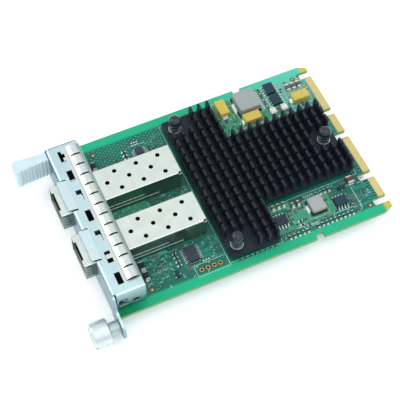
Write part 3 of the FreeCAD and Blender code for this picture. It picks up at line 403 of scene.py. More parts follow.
MATERIALS = {
    "mask": board_material(),
    "gold": metal("contact_gold", (0.80, 0.68, 0.36), 0.32),
    "zinc": plate_material(),
    "fingers": finger_material(),
    "cage": cage_material(),
    "black": plastic("connector_black", (0.012, 0.012, 0.014), 0.45),
    "anodised": dressed("anodised_black", (0.010, 0.016, 0.028), 0.42, specular=0.3, spread=0.3,
                        scale=1800, strength=0.1, rounding=0.00015),
    "pad": plastic("thermal_pad", (0.3, 0.3, 0.32), 0.8),
    "chip": plastic("moulded_chip", (0.012, 0.040, 0.064), 0.5),
    "chip_brown": plastic("moulded_chip_brown", (0.034, 0.048, 0.072), 0.55),
    "pin": plastic("pin_nylon", (0.009, 0.020, 0.030), 0.2, coat=0.45, strength=0.01),
    "wire": metal("bright_wire", (0.8, 0.81, 0.8), 0.2),
    # painted shade: the push-pin springs under the domed heads get a darkened copy of the bright wire
    "wire_painted_shade": metal("spring_wire_painted_shade", (0.13, 0.15, 0.17), 0.35),
    "neck": metal("turned_neck", (0.46, 0.58, 0.58), 0.4),
    "turned": metal("turned_nickel", (0.66, 0.76, 0.76), 0.42, scale=500, spread=0.03, strength=0.01,
                    rounding=0.0003),
    "screw": metal("screw_zinc", (0.55, 0.58, 0.58), 0.35),
    "tab": tab_material(),
    "ferrite": ferrite_material("ferrite_grey", (0.31, 0.36, 0.36), 0.00285),
    "ferrite_pale": ferrite_material("ferrite_pale", (0.36, 0.40, 0.39), 0.0029),
    "tantalum": plastic("tantalum_moulding", (0.60, 0.47, 0.095), 0.42, spread=0.06, rounding=0.0003),
    "tin": metal("tin_plate", (0.70, 0.75, 0.73), 0.36, spread=0.1, rounding=0.0001),
    "tin_dull": metal("tin_dull", (0.26, 0.35, 0.32), 0.45, spread=0.1),
    "ceramic": plastic("ceramic_body", (0.145, 0.095, 0.068), 0.4, spread=0.15),
    "ceramic_red": plastic("ceramic_red", (0.17, 0.045, 0.03), 0.4, spread=0.15),
    "cream": plastic("cream_body", (0.72, 0.72, 0.64), 0.45),
    "resistor": plastic("resistor_glaze", (0.014, 0.016, 0.02), 0.3),
    "silk": plastic("silkscreen_ink", (0.46, 0.66, 0.58), 0.6, spread=0.04),
    "trace": plastic("masked_copper", (0.03, 0.33, 0.25), 0.28, spread=0.08),
    "pour": plastic("masked_pour", (0.045, 0.31, 0.18), 0.3),
    "via": plastic("tented_via", (0.06, 0.36, 0.25), 0.3),
    "copper": metal("copper_ring", (0.62, 0.33, 0.12), 0.35),
    "copper_dull": metal("copper_dull", (0.26, 0.22, 0.09), 0.4),
    # near black, for holes and for the pieces of painted shade and painted shadow
    "hole": plastic("dark_hole_and_painted_shade", (0.004, 0.01, 0.01), 0.6),
}

# by the first letters of the CAD nodes that stay visible, longer names first; all others are chips
NODE_MATERIALS = {
    "circuit_board": "mask",
    "edge_contacts": "gold",
    "sfp_contacts": "gold",
    "sfp_cage": "cage",
    "sfp_connector": "black",
    "faceplate": "zinc",
    "emi_finger_strip": "fingers",
    "thermal_pad": "pad",
    "heatsink": "anodised",
    "pull_tab_screws": "screw",
    "bracket_screws": "screw",
    "pull_tab": "tab",
    "power_inductor_large": "ferrite",
    "power_inductor_small": "ferrite_pale",
    "capacitor_terminals": "tin",
    "tantalum_capacitor": "tantalum",
    "bus_expander_chip": "chip_brown",
    "clock_buffer_chip": "chip_brown",
}
for node_name, node_object in NODES.items():
    matches = [key for prefix, key in NODE_MATERIALS.items() if node_name.startswith(prefix)]
    node_object.data.materials.clear()
    node_object.data.materials.append(MATERIALS[matches[0] if matches else "chip"])


# ---- mesh builder ----
# levels of the board's thin layers above its surface, and how far they reach into it
POUR_LEVEL = 0.006
TRACE_LEVEL = 0.012
VIA_LEVEL = 0.016
PAD_LEVEL = 0.02
FIDUCIAL_LEVEL = 0.024
SILK_LEVEL = 0.028
# level of the dark sheet of painted shade below the flange
PAINTED_SHADE_LEVEL = 0.06
SUNK = 0.01


def add_object(name, data):
    thing = bpy.data.objects.new(name, data)
    bpy.context.scene.collection.objects.link(thing)
    return thing


class Builder:
    """Collects faces, in millimetres, and makes one mesh piece that rides on a body.

    Its thin layers lie on the board's top, or on its underside if under is set.
    """

    def __init__(self, name, under=False):
        self.name = name
        self.under = under
        self.layers = 0
        self.points = []
        self.faces = []
        self.kinds = []
        self.keys = []

    def mark(self, corners, key):
        """Adds a face from the numbers of its points."""
        self.faces.append(tuple(corners))
        if key not in self.keys:
            self.keys.append(key)
        self.kinds.append(self.keys.index(key))

    def add_points(self, points):
        """Adds points and gives their numbers."""
        start = len(self.points)
        self.points.extend(points)
        return range(start, len(self.points))

    def face(self, points, key):
        self.mark(self.add_points(points), key)

    def walls(self, lower, upper, key):
        """Faces between two rings of the same count."""
        count = len(upper)
        for i in range(count):
            j = (i + 1) % count
            self.face([lower[i], lower[j], upper[j], upper[i]], key)

    def prism(self, lower, upper, key):
        """Closed solid between two rings; the upper ring runs counter-clockwise."""
        self.face(upper, key)
        self.face(lower[::-1], key)
        self.walls(lower, upper, key)

    def column(self, plan, low, high, key):
        """Upright solid between two heights, its outline counter-clockwise in plan."""
        self.prism([(x, y, low) for x, y in plan], [(x, y, high) for x, y in plan], key)

    def box(self, low, high, key, chamfer=0.0):
        """Box with all its edges chamfered."""
        cut = min(chamfer, *((high[axis] - low[axis]) / 3 for axis in range(3)))
        ends = (low, high)

        def corner(sides, flat):
            """Point near a corner, on the face whose axis is flat."""
            inward = (cut, -cut)
            return [ends[s][axis] + (0 if axis == flat else inward[s]) for axis, s in enumerate(sides)]

        square = ((0, 0), (1, 0), (1, 1), (0, 1))
        for axis in range(3):
            for side in (0, 1):
                ring = [corner(turned(axis, side, a, b), axis) for a, b in square]
                self.face(ring if side else ring[::-1], key)
        if cut <= 0:
            return
        for axis in range(3):
            one, two = (axis + 1) % 3, (axis + 2) % 3
            for a, b in sorted(square):
                near, far = turned(axis, 0, a, b), turned(axis, 1, a, b)
                ring = [corner(near, one), corner(far, one), corner(far, two), corner(near, two)]
                self.face(ring[::-1] if a == b else ring, key)
        for number in range(8):
            sides = (number & 1, number >> 1 & 1, number >> 2 & 1)
            ring = [corner(sides, axis) for axis in range(3)]
            self.face(ring if sum(sides) % 2 else ring[::-1], key)

    def bar(self, axis, along, across, heights, key, chamfer=0.0):
        """Box from its ends along an axis in plan and across it, given in any order."""
        low, high = (spot(axis, pick(along), pick(across), pick(heights)) for pick in (min, max))
        self.box(low, high, key, chamfer)

    def slab(self, plan, key, level=PAD_LEVEL):
        """Thin layer; successive ones differ by microns at most, so that no two of them coincide."""
        self.layers = (self.layers + 1) % 8
        height = level + self.layers * 0.0005
        low, high = (-height, SUNK) if self.under else (BOARD_TOP - SUNK, BOARD_TOP + height)
        self.column(plan, low, high, key)

    def disc(self, x, y, radius, key, level=PAD_LEVEL, sides=8):
        self.slab(circle(x, y, radius, sides), key, level)

    def ring(self, x, y, inner, outer, key, sides=16):
        """Flat washer."""
        inside, outside = circle(x, y, inner, sides), circle(x, y, outer, sides)
        for i in range(sides):
            j = (i + 1) % sides
            self.slab([inside[i], outside[i], outside[j], inside[j]], key)

    def rectangle(self, x0, x1, y0, y1, key, level=PAD_LEVEL):
        self.slab([(x0, y0), (x1, y0), (x1, y1), (x0, y1)], key, level)

    def land(self, axis, along, across, key="tin"):
        """Rectangle from its ends along an axis, given in any order, and across it."""
        x, y = (across, sorted(along)) if axis else (sorted(along), across)
        self.rectangle(*x, *y, key)

    def line(self, points, width, key, level=TRACE_LEVEL):
        """Flat line of constant width through points in plan, mitred at its bends."""
        left, right = offset_path(points, width / 2), offset_path(points, -width / 2)
        for i in range(len(points) - 1):
            self.slab([right[i], right[i + 1], left[i + 1], left[i]], key, level)

    def ink(self, points, width):
        """Printed line, mitred at its bends."""
        self.line(points, width, "silk", SILK_LEVEL)

    def ink_steps(self, path, width):
        """Printed path, each of its steps a line of its own."""
        for step in zip(path, path[1:]):
            self.ink(step, width)

    def ink_frame(self, x0, x1, y0, y1, width):
        self.ink_steps([(x0, y0), (x1, y0), (x1, y1), (x0, y1), (x0, y0)], width)

    def join(self, rings, key):
        """Faces between successive rings of point numbers; a ring may be one point on the axis."""
        sides = max(len(ring) for ring in rings)
        for first, second in zip(rings, rings[1:]):
            for i in range(sides):
                j = (i + 1) % sides
                corners = (first[i % len(first)], first[j % len(first)],
                           second[j % len(second)], second[i % len(second)])
                self.mark(dict.fromkeys(corners), key)

    def lathe(self, profile, origin, axis, key, sides=48):
        """Closed turned solid: profile is (distance along the axis, radius) from end to end."""
        turns = [2 * math.pi * i / sides for i in range(sides)]
        rings = []
        for along, radius in profile:
            ring = []
            for angle in turns if radius > 1e-6 else turns[:1]:
                offset = turned(axis, along, radius * math.cos(angle), radius * math.sin(angle))
                ring.append([start + step for start, step in zip(origin, offset)])
            rings.append(self.add_points(ring))
        self.join(rings, key)

    def tube(self, path, radius, key, sides=10):
        """Round wire along a smooth path of points."""
        turns = [2 * math.pi * i / sides for i in range(sides)]
        rings = []
        for i, here in enumerate(path):
            ahead = (path[min(i + 1, len(path) - 1)] - path[max(i - 1, 0)]).normalized()
            side = (side - ahead * side.dot(ahead)).normalized() if i else ahead.orthogonal().normalized()
            third = ahead.cross(side)
            ring = [here + (side * math.cos(angle) + third * math.sin(angle)) * radius for angle in turns]
            rings.append(self.add_points(ring))
        self.join(rings, key)
        self.mark(rings[0][::-1], key)
        self.mark(rings[-1], key)

    def mesh(self):
        mesh = bpy.data.meshes.new(self.name)
        mesh.from_pydata([tuple(Vector(point) * MM) for point in self.points], [], self.faces)
        for key in self.keys:
            mesh.materials.append(MATERIALS[key])
        mesh.polygons.foreach_set("material_index", self.kinds)
        mesh.update()
        return mesh

    def build(self, body="root", smooth=None):
        mesh = self.mesh()
        if smooth:
            mesh.shade_smooth()
            mesh.set_sharp_from_angle(angle=math.radians(smooth))
        piece = add_object(self.name, mesh)
        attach(piece, body)
        return piece


def circle(x, y, radius, sides):
    """Corners of a round outline, counter-clockwise."""
    step = 2 * math.pi / sides
    return [(x + radius * math.cos(i * step), y + radius * math.sin(i * step)) for i in range(sides)]


def offset_path(points, distance):
    """Path parallel to another, distance to its left, mitred at the bends."""
    points = [Vector(point) for point in points]
    ways = [(b - a).normalized() for a, b in zip(points, points[1:])]
    shifted = []
    for here, before, after in zip(points, ways[:1] + ways, ways + ways[-1:]):
        left = Vector((-before.y, before.x))
        mitre = (left + Vector((-after.y, after.x))).normalized()
        shifted.append(tuple(here + mitre * distance / max(0.3, mitre.dot(left))))
    return shifted


def arc_path(x, y, radius, start, stop, steps=6):
    """Points of an arc in plan; the angles are in degrees."""
    turns = [math.radians(start + (stop - start) * i / steps) for i in range(steps + 1)]
    return [(x + radius * math.cos(a), y + radius * math.sin(a)) for a in turns]


# ---- small parts ----
def extruded(axis, start, outward, sides, profile):
    """Two rings, one on each side of a part, of a profile of (distance outward, height)."""
    rings = [[spot(axis, start + outward * out, side, z) for out, z in profile] for side in sides]
    return [ring[::-1] for ring in rings] if (outward > 0) == (axis == 0) else rings


def chip_part(builder, low, high, body_key, cap_share=0.24, cap_key="tin"):
    """Two-terminal part: body between two tinned ends, with sloped solder at each end."""
    axis, (start, stop), sides = spans(low, high)
    inset, chamfer_share, fillet_share = 0.02, 0.12, 0.4
    cap = (stop - start) * cap_share
    body_sides = (sides[0] + inset, sides[1] - inset)
    builder.bar(axis, (start + cap, stop - cap), body_sides, (low.z, high.z - inset), body_key)
    for along in ((start, start + cap), (stop - cap, stop)):
        builder.bar(axis, along, sides, (low.z, high.z), cap_key, min(high - low) * chamfer_share)
    reach = min(0.4, (sides[1] - sides[0]) * fillet_share)
    on_top = abs(low.z - BOARD_TOP) < 0.05
    base, rise = (low.z, high.z - low.z) if on_top else (high.z, low.z - high.z)
    profile = [(-cap / 2, base), (reach, base), (reach * 0.35, base + rise * 0.2), (0, base + rise / 2)]
    if on_top:
        profile.reverse()
    for outward, end in ((-1, start), (1, stop)):
        builder.prism(*extruded(axis, end, outward, sides, profile), cap_key)


def dress_chips(node, name, key, cap_share=0.24):
    """Redraws a node of two-terminal parts with their terminals; key may depend on the box."""
    builder = Builder(name)
    for low, high in solid_boxes(node):
        chip_part(builder, low, high, key(low, high) if callable(key) else key, cap_share)
    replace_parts(builder.build(), node)


def capacitor_body(low, high):
    """The two large pale parts by the regulators and the red one by the card edge differ."""
    if min(high.x - low.x, high.y - low.y) < 2:
        return "ceramic"
    return "cream" if low.x < 0 else "ceramic_red"


def package_beside(low, high):
    """Box of the package that a lead stands against."""
    middle, slack = (low + high) / 2, high - low
    for node in SMALL_PACKAGES:
        body_low, body_high = box_of(node)
        if all(body_low[a] - slack[a] < middle[a] < body_high[a] + slack[a] for a in (0, 1)):
            return body_low, body_high
    raise ValueError("a lead stands beside no package")


def gull_leads():
    """Formed leads: level at the package, sloping down, flat on the board in solder."""
    thickness, tucked = 0.16, -0.1
    foot = BOARD_TOP + thickness
    builder = Builder("chip_leads_formed")
    for low, high in solid_boxes("chip_leads"):
        body = package_beside(low, high)
        axis, (near, far), sides = spans(low, high)
        outward = 1 if near + far > body[0][axis] + body[1][axis] else -1
        start = body[outward > 0][axis]
        reach, top = far - near, high.z
        profile = (
            (tucked, top),
            (reach * 0.25, top),
            (reach * 0.6, foot + 0.03),
            (reach, foot),
            (reach, BOARD_TOP),
            (reach * 0.45, BOARD_TOP),
            (reach * 0.12, top - thickness),
            (tucked, top - thickness),
        )
        lower, upper = extruded(axis, start, outward, sides, profile)
        builder.walls(lower, upper, "tin")
        for ring, turn in ((upper, 1), (lower, -1)):
            for corners in ((0, 1, 6, 7), (1, 2, 5, 6), (2, 3, 4, 5)):
                builder.face([ring[c] for c in corners][::turn], "tin")
        builder.land(axis, (start + outward * reach * 0.4, start + outward * (reach + 0.35)), sides)
    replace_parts(builder.build(), "chip_leads")


def small_transistors():
    """Three-legged packages on formed legs."""
    leg_width, leg_height, body_share = 0.42, 0.16, 0.56
    builder = Builder("small_transistors_formed")
    for low, high in solid_boxes("small_transistors"):
        axis, ends, sides = spans(low, high)
        middle = sum(ends) / 2
        body = centred(sides, body_share)
        builder.bar(axis, ends, body, (low.z + 0.1, high.z), "chip", 0.14)
        reach = (ends[1] - ends[0]) * 0.33
        for side, root, places in zip(sides, centred(sides, body_share * 0.8), ((-reach, reach), (0,))):
            for place in places:
                leg = (middle + place - leg_width / 2, middle + place + leg_width / 2)
                builder.bar(axis, leg, (side, root), (low.z, low.z + leg_height), "tin", 0.03)
    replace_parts(builder.build(), "small_transistors")


def package_marks():
    """Pin-one dimple and moulding line on each small package."""
    proud, half_line = 0.025, 0.03
    builder = Builder("package_details")
    for node in SMALL_PACKAGES:
        low, high = box_of(node)
        size = high - low
        radius = min(size.x, size.y) * 0.08
        dimple = (low.x + size.x * 0.18, high.y - size.y * 0.18, high.z - 0.004)
        rim, floor = 0.02, 0.008
        profile = [(0, 0), (0, radius), (rim, radius), (rim, radius * 0.8)]
        profile += [(floor, radius * 0.7), (floor, 0)]
        builder.lathe(profile, dimple, 2, "chip", 16)
        middle = low.z + size.z * 0.5
        x0, x1, y0, y1 = grown((low, high), proud)
        builder.box((x0, y0, middle - half_line), (x1, y1, middle + half_line), "chip", 0.01)
    builder.build()


def inductor_terminals():
    """Bent tinned straps at both ends of each power inductor, on wide lands."""
    foot_height, strap, strap_share = 0.32, 0.18, 0.42
    builder = Builder("inductor_terminals")
    for node in ("power_inductor_large", "power_inductor_small"):
        low, high = box_of(node)
        across = centred((low.x, high.x), 0.46)
        strap_top = BOARD_TOP + (high.z - BOARD_TOP) * strap_share
        for outward, end in ((-1, low.y), (1, high.y)):
            foot = (end - outward * 0.1, end + outward * 0.55)
            builder.bar(1, foot, across, (BOARD_TOP, BOARD_TOP + foot_height), "tin", 0.08)
            upright = (end - outward * 0.05, end + outward * strap)
            builder.bar(1, upright, across, (BOARD_TOP, strap_top), "tin", 0.05)
            builder.land(1, (end, end + outward * 0.9), (across[0] - 0.3, across[1] + 0.3))
    builder.build()


def tantalum_terminals():
    """Tin strips folded up the ends of the moulded capacitors."""
    builder = Builder("tantalum_terminals")
    for number in (1, 2, 3):
        low, high = box_of("tantalum_capacitor_%d" % number)
        axis, ends, sides = spans(low, high)
        across = centred(sides, 0.54)
        heights = (BOARD_TOP, (low.z + high.z) / 2)
        for outward, end in zip((-1, 1), ends):
            builder.bar(axis, (end - outward * 0.05, end + outward * 0.1), across, heights, "tin", 0.03)
            builder.land(axis, (end - outward * 0.6, end + outward * 0.7), across)
    builder.build()


dress_chips("chip_resistors", "resistors_dressed", "resistor")
dress_chips("ceramic_capacitors", "capacitors_dressed", capacitor_body)
dress_chips("noise_filters", "filters_dressed", "resistor", 0.1)
dress_chips("underside_capacitors", "underside_capacitors_dressed", "ceramic")
gull_leads()
small_transistors()
package_marks()
inductor_terminals()
tantalum_terminals()


# ---- turned and wound pieces ----
def rounded(corners, radius, steps=4):
    """Profile with each inner corner rounded; ends stay sharp."""
    path = [corners[0]]
    for before, here, after in zip(corners, corners[1:], corners[2:]):
        b, h, a = Vector(before), Vector(here), Vector(after)
        reach = min(radius, (b - h).length * 0.45, (a - h).length * 0.45)
        start, end = h + (b - h).normalized() * reach, h + (a - h).normalized() * reach
        for i in range(steps + 1):
            t = i / steps
            path.append(tuple(start * (1 - t) ** 2 + h * 2 * t * (1 - t) + end * t * t))
    path.append(corners[-1])
    return path


def cut_slot(piece, low, high):
    """Cuts a box-shaped slot out of a piece and keeps the result as its mesh."""
    builder = Builder("slot_tool")
    builder.box(low, high, "hole")
    tool = add_object("slot_tool", builder.mesh())
    cut = piece.modifiers.new("slot", "BOOLEAN")
    cut.operation = "DIFFERENCE"
    cut.solver = "EXACT"
    cut.object = tool
    bpy.context.view_layer.update()
    evaluated = piece.evaluated_get(bpy.context.evaluated_depsgraph_get())
    result = bpy.data.meshes.new_from_object(evaluated)
    piece.modifiers.clear()
    piece.data = result
    bpy.data.objects.remove(tool)


def push_pin(number):
    """Moulded pin: domed head, round shank, split barb below the board, and a steel washer."""
    low, high = box_of("push_pin_%d" % number)
    centre = (low + high) / 2
    origin = (centre.x, centre.y, 0)
    rim_radius = (high.x - low.x) / 2
    rim_z, rim_height, rim_edge = 9.2, 0.7, 0.15
    shank_radius, barb_radius, barb_z = 1.35, 1.9, -0.02
    head_top = rim_z + rim_height
    dome = high.z - head_top
    steps = 9
    profile = [(low.z, 0), (low.z, 0.5), (barb_z, barb_radius), (barb_z, shank_radius)]
    profile += [(rim_z, shank_radius), (rim_z, rim_radius - rim_edge), (rim_z + rim_edge, rim_radius)]
    for i in range(steps + 1):
        angle = math.pi / 2 * i / steps
        profile.append((head_top + dome * math.sin(angle), rim_radius * math.cos(angle)))
    builder = Builder("push_pin_%d_moulded" % number)
    builder.lathe(profile, origin, 2, "pin")
    seat = box_of("push_pin_spring_%d" % number)[0].z
    inner, outer, top = 1.5, rim_radius - 0.05, seat + 0.22
    washer = [(seat, inner), (seat, outer), (top, outer), (top, inner), (seat, inner)]
    builder.lathe(washer, origin, 2, "turned")
    piece = builder.build(smooth=40)
    half_slot = 0.35
    cut_slot(
        piece,
        (centre.x - half_slot, centre.y - 3, low.z - 1),
        (centre.x + half_slot, centre.y + 3, -0.1),
    )
    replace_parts(piece, "push_pin_%d" % number)


def wound_spring(node, axis, turns, wire, key):
    """Round-wire spring with closed end turns that fills a CAD spring's box."""
    low, high = box_of(node)
    across = (axis + 1) % 3
    radius = (high[across] - low[across]) / 2 - wire / 2
    start, stop = low[axis] + wire / 2, high[axis] - wire / 2
    flat_turns, steps_per_turn = 0.75, 28
    total = turns + 2 * flat_turns
    count = int(total * steps_per_turn)
    path = []
    for i in range(count + 1):
        turn = total * i / count
        angle = 2 * math.pi * turn
        share = min(1, max(0, (turn - flat_turns) / turns))
        sideways = Vector(turned(axis, 0, radius * math.cos(angle), radius * math.sin(angle)))
        point = (low + high) / 2 + sideways
        point[axis] = start + (stop - start) * share
        path.append(point)
    builder = Builder(node + "_wound")
    builder.tube(path, wire / 2, key)
    piece = builder.build(smooth=60)
    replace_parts(piece, node)
    return piece


def thumbscrew():
    """Turned knob with soft edges, its shank, shoulder and driver slot."""
    low, high = box_of("thumbscrew")
    centre = (low + high) / 2
    knob_radius = (high.x - low.x) / 2
    front, back = low.y, box_of("thumbscrew_sleeve")[0].y - 0.02
    dish, web = front + 0.35, front + 1.0
    bore, stem, shoulder, shank, tip = 2.85, 1.7, 2.1, 1.5, 1.35
    shoulder_front, shoulder_rear = -3.42, -2.62
    knob = [(dish, 0), (dish, 3.3), (front, 3.6), (front, knob_radius), (back, knob_radius), (back, bore)]
    profile = rounded(knob + [(web, bore)], 0.85)
    profile += [(web, stem), (shoulder_front, stem), (shoulder_front, shoulder), (shoulder_rear, shoulder)]
    profile += [(shoulder_rear, shank), (high.y - 0.1, shank), (high.y, tip), (high.y, 0)]
    builder = Builder("thumbscrew_turned")
    builder.lathe(profile, (centre.x, 0, centre.z), 1, "turned", 64)
    piece = builder.build("thumbscrew_turn", 35)
    reach, half_slot, depth = knob_radius + 1, 0.5, 0.8
    cut_slot(
        piece,
        (centre.x - reach, front - 1, centre.z - half_slot),
        (centre.x + reach, front + depth, centre.z + half_slot),
    )
    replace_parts(piece, "thumbscrew")


def thumbscrew_sleeve():
    """Pressed-in neck with a rolled front lip."""
    low, high = box_of("thumbscrew_sleeve")
    centre = (low + high) / 2
    radius = (high.x - low.x) / 2
    front, back, lip = low.y, high.y, low.y + 0.6
    bore, wide_bore = 1.78, 2.2
    corners = [(front, bore), (front, radius), (back, radius), (back, wide_bore), (lip, wide_bore)]
    corners += [(lip, bore), (front, bore)]
    builder = Builder("thumbscrew_sleeve_turned")
    builder.lathe(rounded(corners, 0.25), (centre.x, 0, centre.z), 1, "neck", 64)
    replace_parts(builder.build(smooth=35), "thumbscrew_sleeve")


def screw_spring():
    """The thumbscrew's spring, pressed flat to the length of its CAD box."""
    piece = wound_spring("thumbscrew_spring", 1, 3, 0.45, "wire")
    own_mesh(piece)


# ---- cage and plate details ----
def cage_details():
    """Folded seam rails along the cages' sides, nose spring fingers and pressed rear tabs."""
    rail_front, rail_rear = FLANGE_REAR + 0.4, 29.0
    builder = Builder("cage_details")
    for low, high in CAGES:
        for outward, wall in ((-1, low.x), (1, high.x)):
            across = (wall - outward * 0.02, wall + outward * 0.16)
            builder.bar(1, (rail_front, rail_rear), across, (5.35, 5.6), "cage", 0.05)
            builder.bar(1, (rail_front, rail_rear + 6), across, (3.1, 3.22), "cage", 0.03)
            for index in range(4):
                nose_finger(builder, wall, outward, low.y + 0.5, -0.35, 3.4 + index * 1.8)
        for x in (low.x + 3.2, high.x - 3.2):
            builder.box((x - 0.5, high.y - 0.02, 8.6), (x + 0.5, high.y + 0.14, 9.8), "cage", 0.06)
    builder.build()


def nose_finger(builder, wall, outward, start, stop, z):
    """Bowed spring finger on the side of a cage's nose."""
    steps = 6
    bow, thickness, height, gap = 0.24, 0.06, 1.2, 0.02
    inner, outer = [], []
    for i in range(steps + 1):
        t = i / steps
        y = start + (stop - start) * t
        x = wall + outward * (gap + bow * math.sin(math.pi * t))
        inner.append((x, y))
        outer.append((x + outward * thickness, y))
    for i in range(steps):
        plan = [inner[i], outer[i], outer[i + 1], inner[i + 1]]
        builder.column(plan[::outward], z, z + height, "cage")


def finger_slits():
    """Painted shadow: dark strips that follow the arch over every slit in the finger strip."""
    points = [vertex.co / MM for vertex in NODES["emi_finger_strip"].data.vertices]
    low, high = box_of("emi_finger_strip")
    crest = [p for p in points if p.z > high.z - 0.3 and low.x + 1 < p.x < high.x - 1]
    walls = sorted({round(p.x, 2) for p in crest})
    overlap, sunk, proud, lowest = 0.06, 0.03, 0.012, 12.8
    builder = Builder("finger_slit_shadows")
    for left, right in zip(walls[::2], walls[1::2]):
        x0, x1 = left - overlap, right + overlap
        tops = {}
        for p in points:
            if abs(p.x - left) < 0.02:
                y = round(p.y, 1)
                tops[y] = max(tops.get(y, 0), p.z)
        path = [(y, z) for y, z in sorted(tops.items()) if z > lowest]
        for (y0, z0), (y1, z1) in zip(path, path[1:]):
            corners = ((x0, y0, z0), (x1, y0, z0), (x1, y1, z1), (x0, y1, z1))
            lower, upper = ([(x, y, z + up) for x, y, z in corners] for up in (-sunk, proud))
            builder.prism(lower, upper, "hole")
    builder.build()


for number in (1, 2, 3):
    push_pin(number)
    wound_spring("push_pin_spring_%d" % number, 2, 2.5, 0.5, "wire_painted_shade")
thumbscrew()
thumbscrew_sleeve()
screw_spring()
finger_slits()
cage_details()


# ---- what stands on the board ----
KEEP_OFF, OVERHEAD = 0.25, 4
TAKEN = [
    (SINK_LOW.x - 1.0, SINK_HIGH.x + KEEP_OFF, SINK_LOW.y - 1.0, WIDE_REAR + 1.0),
    (NARROW_LEFT - 1.0, NARROW_RIGHT + 1.0, WIDE_REAR - 1.0, SINK_HIGH.y + 0.6),
]


def is_free(x0, x1, y0, y1):
    """Whether a patch of the board's top is clear of everything placed so far."""
    return not any(x0 < b[1] and x1 > b[0] and y0 < b[3] and y1 > b[2] for b in TAKEN)


def claim(x0, x1, y0, y1, margin=0.1):
    TAKEN.append((x0 - margin, x1 + margin, y0 - margin, y1 + margin))


for node_name in NODES:
    if node_name in ("circuit_board", "faceplate", "heatsink"):
        continue
    for solid in solid_boxes(node_name):
        if solid[1].z >= BOARD_TOP and solid[0].z <= OVERHEAD:
            TAKEN.append(grown(solid, KEEP_OFF))


# ---- board artwork ----
HEADER_X, HEADER_Y, HEADER_PITCH = 32.2, 40.2, 2.54
HEADER_SPOTS = [(HEADER_X, HEADER_Y + (i - 1.5) * HEADER_PITCH) for i in range(4)]
FIDUCIALS = ((-33.2, 107.2), (33.2, 107.3), (-31.5, 18.2), (32.35, 16.3))


def copper_pours(art):
    """Wide copper areas with cut corners that show lighter through the mask."""
    corner_share = 0.16
    for x0, x1, y0, y1 in (
        (22.4, 31.4, 76.4, 84.0),
        (29.0, 31.6, 69.6, 76.2),
        (18.4, 21.4, 69.8, 79.0),
        (19.6, 31.0, 84.2, 94.4),
        (-34.4, -17.6, 69.4, 79.0),
        (-24.0, -17.4, 79.2, 91.0),
        (-34.6, -30.0, 89.2, 93.0),
        (-22.6, -17.6, 91.2, 100.4),
        (18.8, 20.6, 17.8, 27.6),
        (-4.2, 4.2, 14.0, 30.0),
    ):
        cut = min(x1 - x0, y1 - y0) * corner_share
        plan = [(x0 + cut, y0), (x1 - cut, y0), (x1, y0 + cut), (x1, y1 - cut)]
        plan += [(x1 - cut, y1), (x0 + cut, y1), (x0, y1 - cut), (x0, y0 + cut)]
        art.slab(plan, "pour", POUR_LEVEL)


def via_field(art, x0, x1, y0, y1, pitch, radius):
    """Staggered lattice of tented vias, left out where something stands."""
    row_pitch = pitch * 0.7
    for row in range(int((y1 - y0) / row_pitch) + 1):
        for column in range(int((x1 - x0) / pitch) + 1):
            x = x0 + column * pitch + (pitch / 2 if row % 2 else 0)
            y = y0 + row * row_pitch
            if x <= x1 and is_free(*around(x, y, radius)):
                art.disc(x, y, radius, "via", VIA_LEVEL)


def scattered_vias(art, x0, x1, y0, y1, count):
    """Small through holes with bright collars between the parts."""
    for _ in range(count):
        x, y = rng.uniform(x0, x1), rng.uniform(y0, y1)
        if is_free(*around(x, y, 0.3)):
            art.disc(x, y, 0.26, "via", VIA_LEVEL)
            art.disc(x, y, 0.1, "hole")


def bundle(art, points, count, pitch=0.4, width=0.16):
    """Parallel traces that follow one path."""
    for i in range(count):
        art.line(offset_path(points, (i - (count - 1) / 2) * pitch), width, "trace")


def route(x, start, turn, to_x=None, stop=None):
    """Path straight along Y, or with a 45-degree step across to another x on its way."""
    path = [(x, start), (x, turn)]
    return path if to_x is None else path + [(to_x, turn + abs(to_x - x)), (to_x, stop)]


def traces(art):
    """Signal routing that shows between the parts."""
    for points, count in (
        (route(19.4, 14.2, 20.0, 22.0, 27.8), 3),
        (route(23.0, 18.6, 21.0, 25.6, 28.0), 4),
        (route(27.4, 18.8, 22.0, 28.6, 25.6), 2),
        (route(22.8, 38.9, 41.0, 20.6, 47.0), 3),
        (route(25.2, 38.9, 43.0, 23.4, 47.4), 4),
        (route(27.2, 38.9, 41.6, 29.0, 47.4), 3),
        ([(27.9, 31.0), (30.4, 33.4), (30.4, 35.6)], 3),
        (route(-23.0, 30.8, 33.8), 2),
        (route(-19.6, 14.2, 22.0, -21.4, 28.8), 4),
        (route(-24.6, 38.4, 41.0, -22.0, 47.2), 4),
        (route(-28.6, 38.4, 42.0, -30.6, 47.2), 3),
        (route(-3.2, 30.4, 40.0, -1.6, 47.2), 3),
        (route(0.8, 30.4, 38.0, 2.4, 47.2), 4),
        (route(21.4, 100.0, 103.4, 24.0, 111.0), 4),
        (route(26.8, 101.0, 104.0, 28.4, 111.0), 5),
        (route(31.0, 101.4, 104.0, 31.6, 108.6), 3),
        (route(18.6, 84.0, 100.0, 19.6, 103.2), 2),
        (route(-27.2, 99.4, 101.6, -29.8, 111.0), 3),
        (route(-19.4, 101.0, 111.0), 4),
        (route(-26.4, 89.4, 92.4), 5),
        (route(-31.6, 89.4, 92.4), 4),
    ):
        bundle(art, points, count)


def edge_traces(art):
    """One short trace from each edge contact, every third one with a via at its end."""
    for index, (low, high) in enumerate(solid_boxes("edge_contacts_top")):
        x = (low.x + high.x) / 2
        start, stop = low.y + 0.05, low.y - (1.3, 2.4, 3.2)[index % 3]
        if not is_free(x - 0.1, x + 0.1, stop, start - 0.4):
            stop = low.y - 1.0
        width, key = (0.26, "trace") if index % 2 else (0.2, "hole")
        art.line([(x, start), (x, stop)], width, key)
        if index % 3 == 2:
            art.disc(x, stop, 0.24, "via")


def beside_cages(gap, along):
    """Points along both sides of each cage, a gap outside its walls."""
    return [(x, y) for low, high in CAGES for x in (low.x - gap, high.x + gap) for y in along]


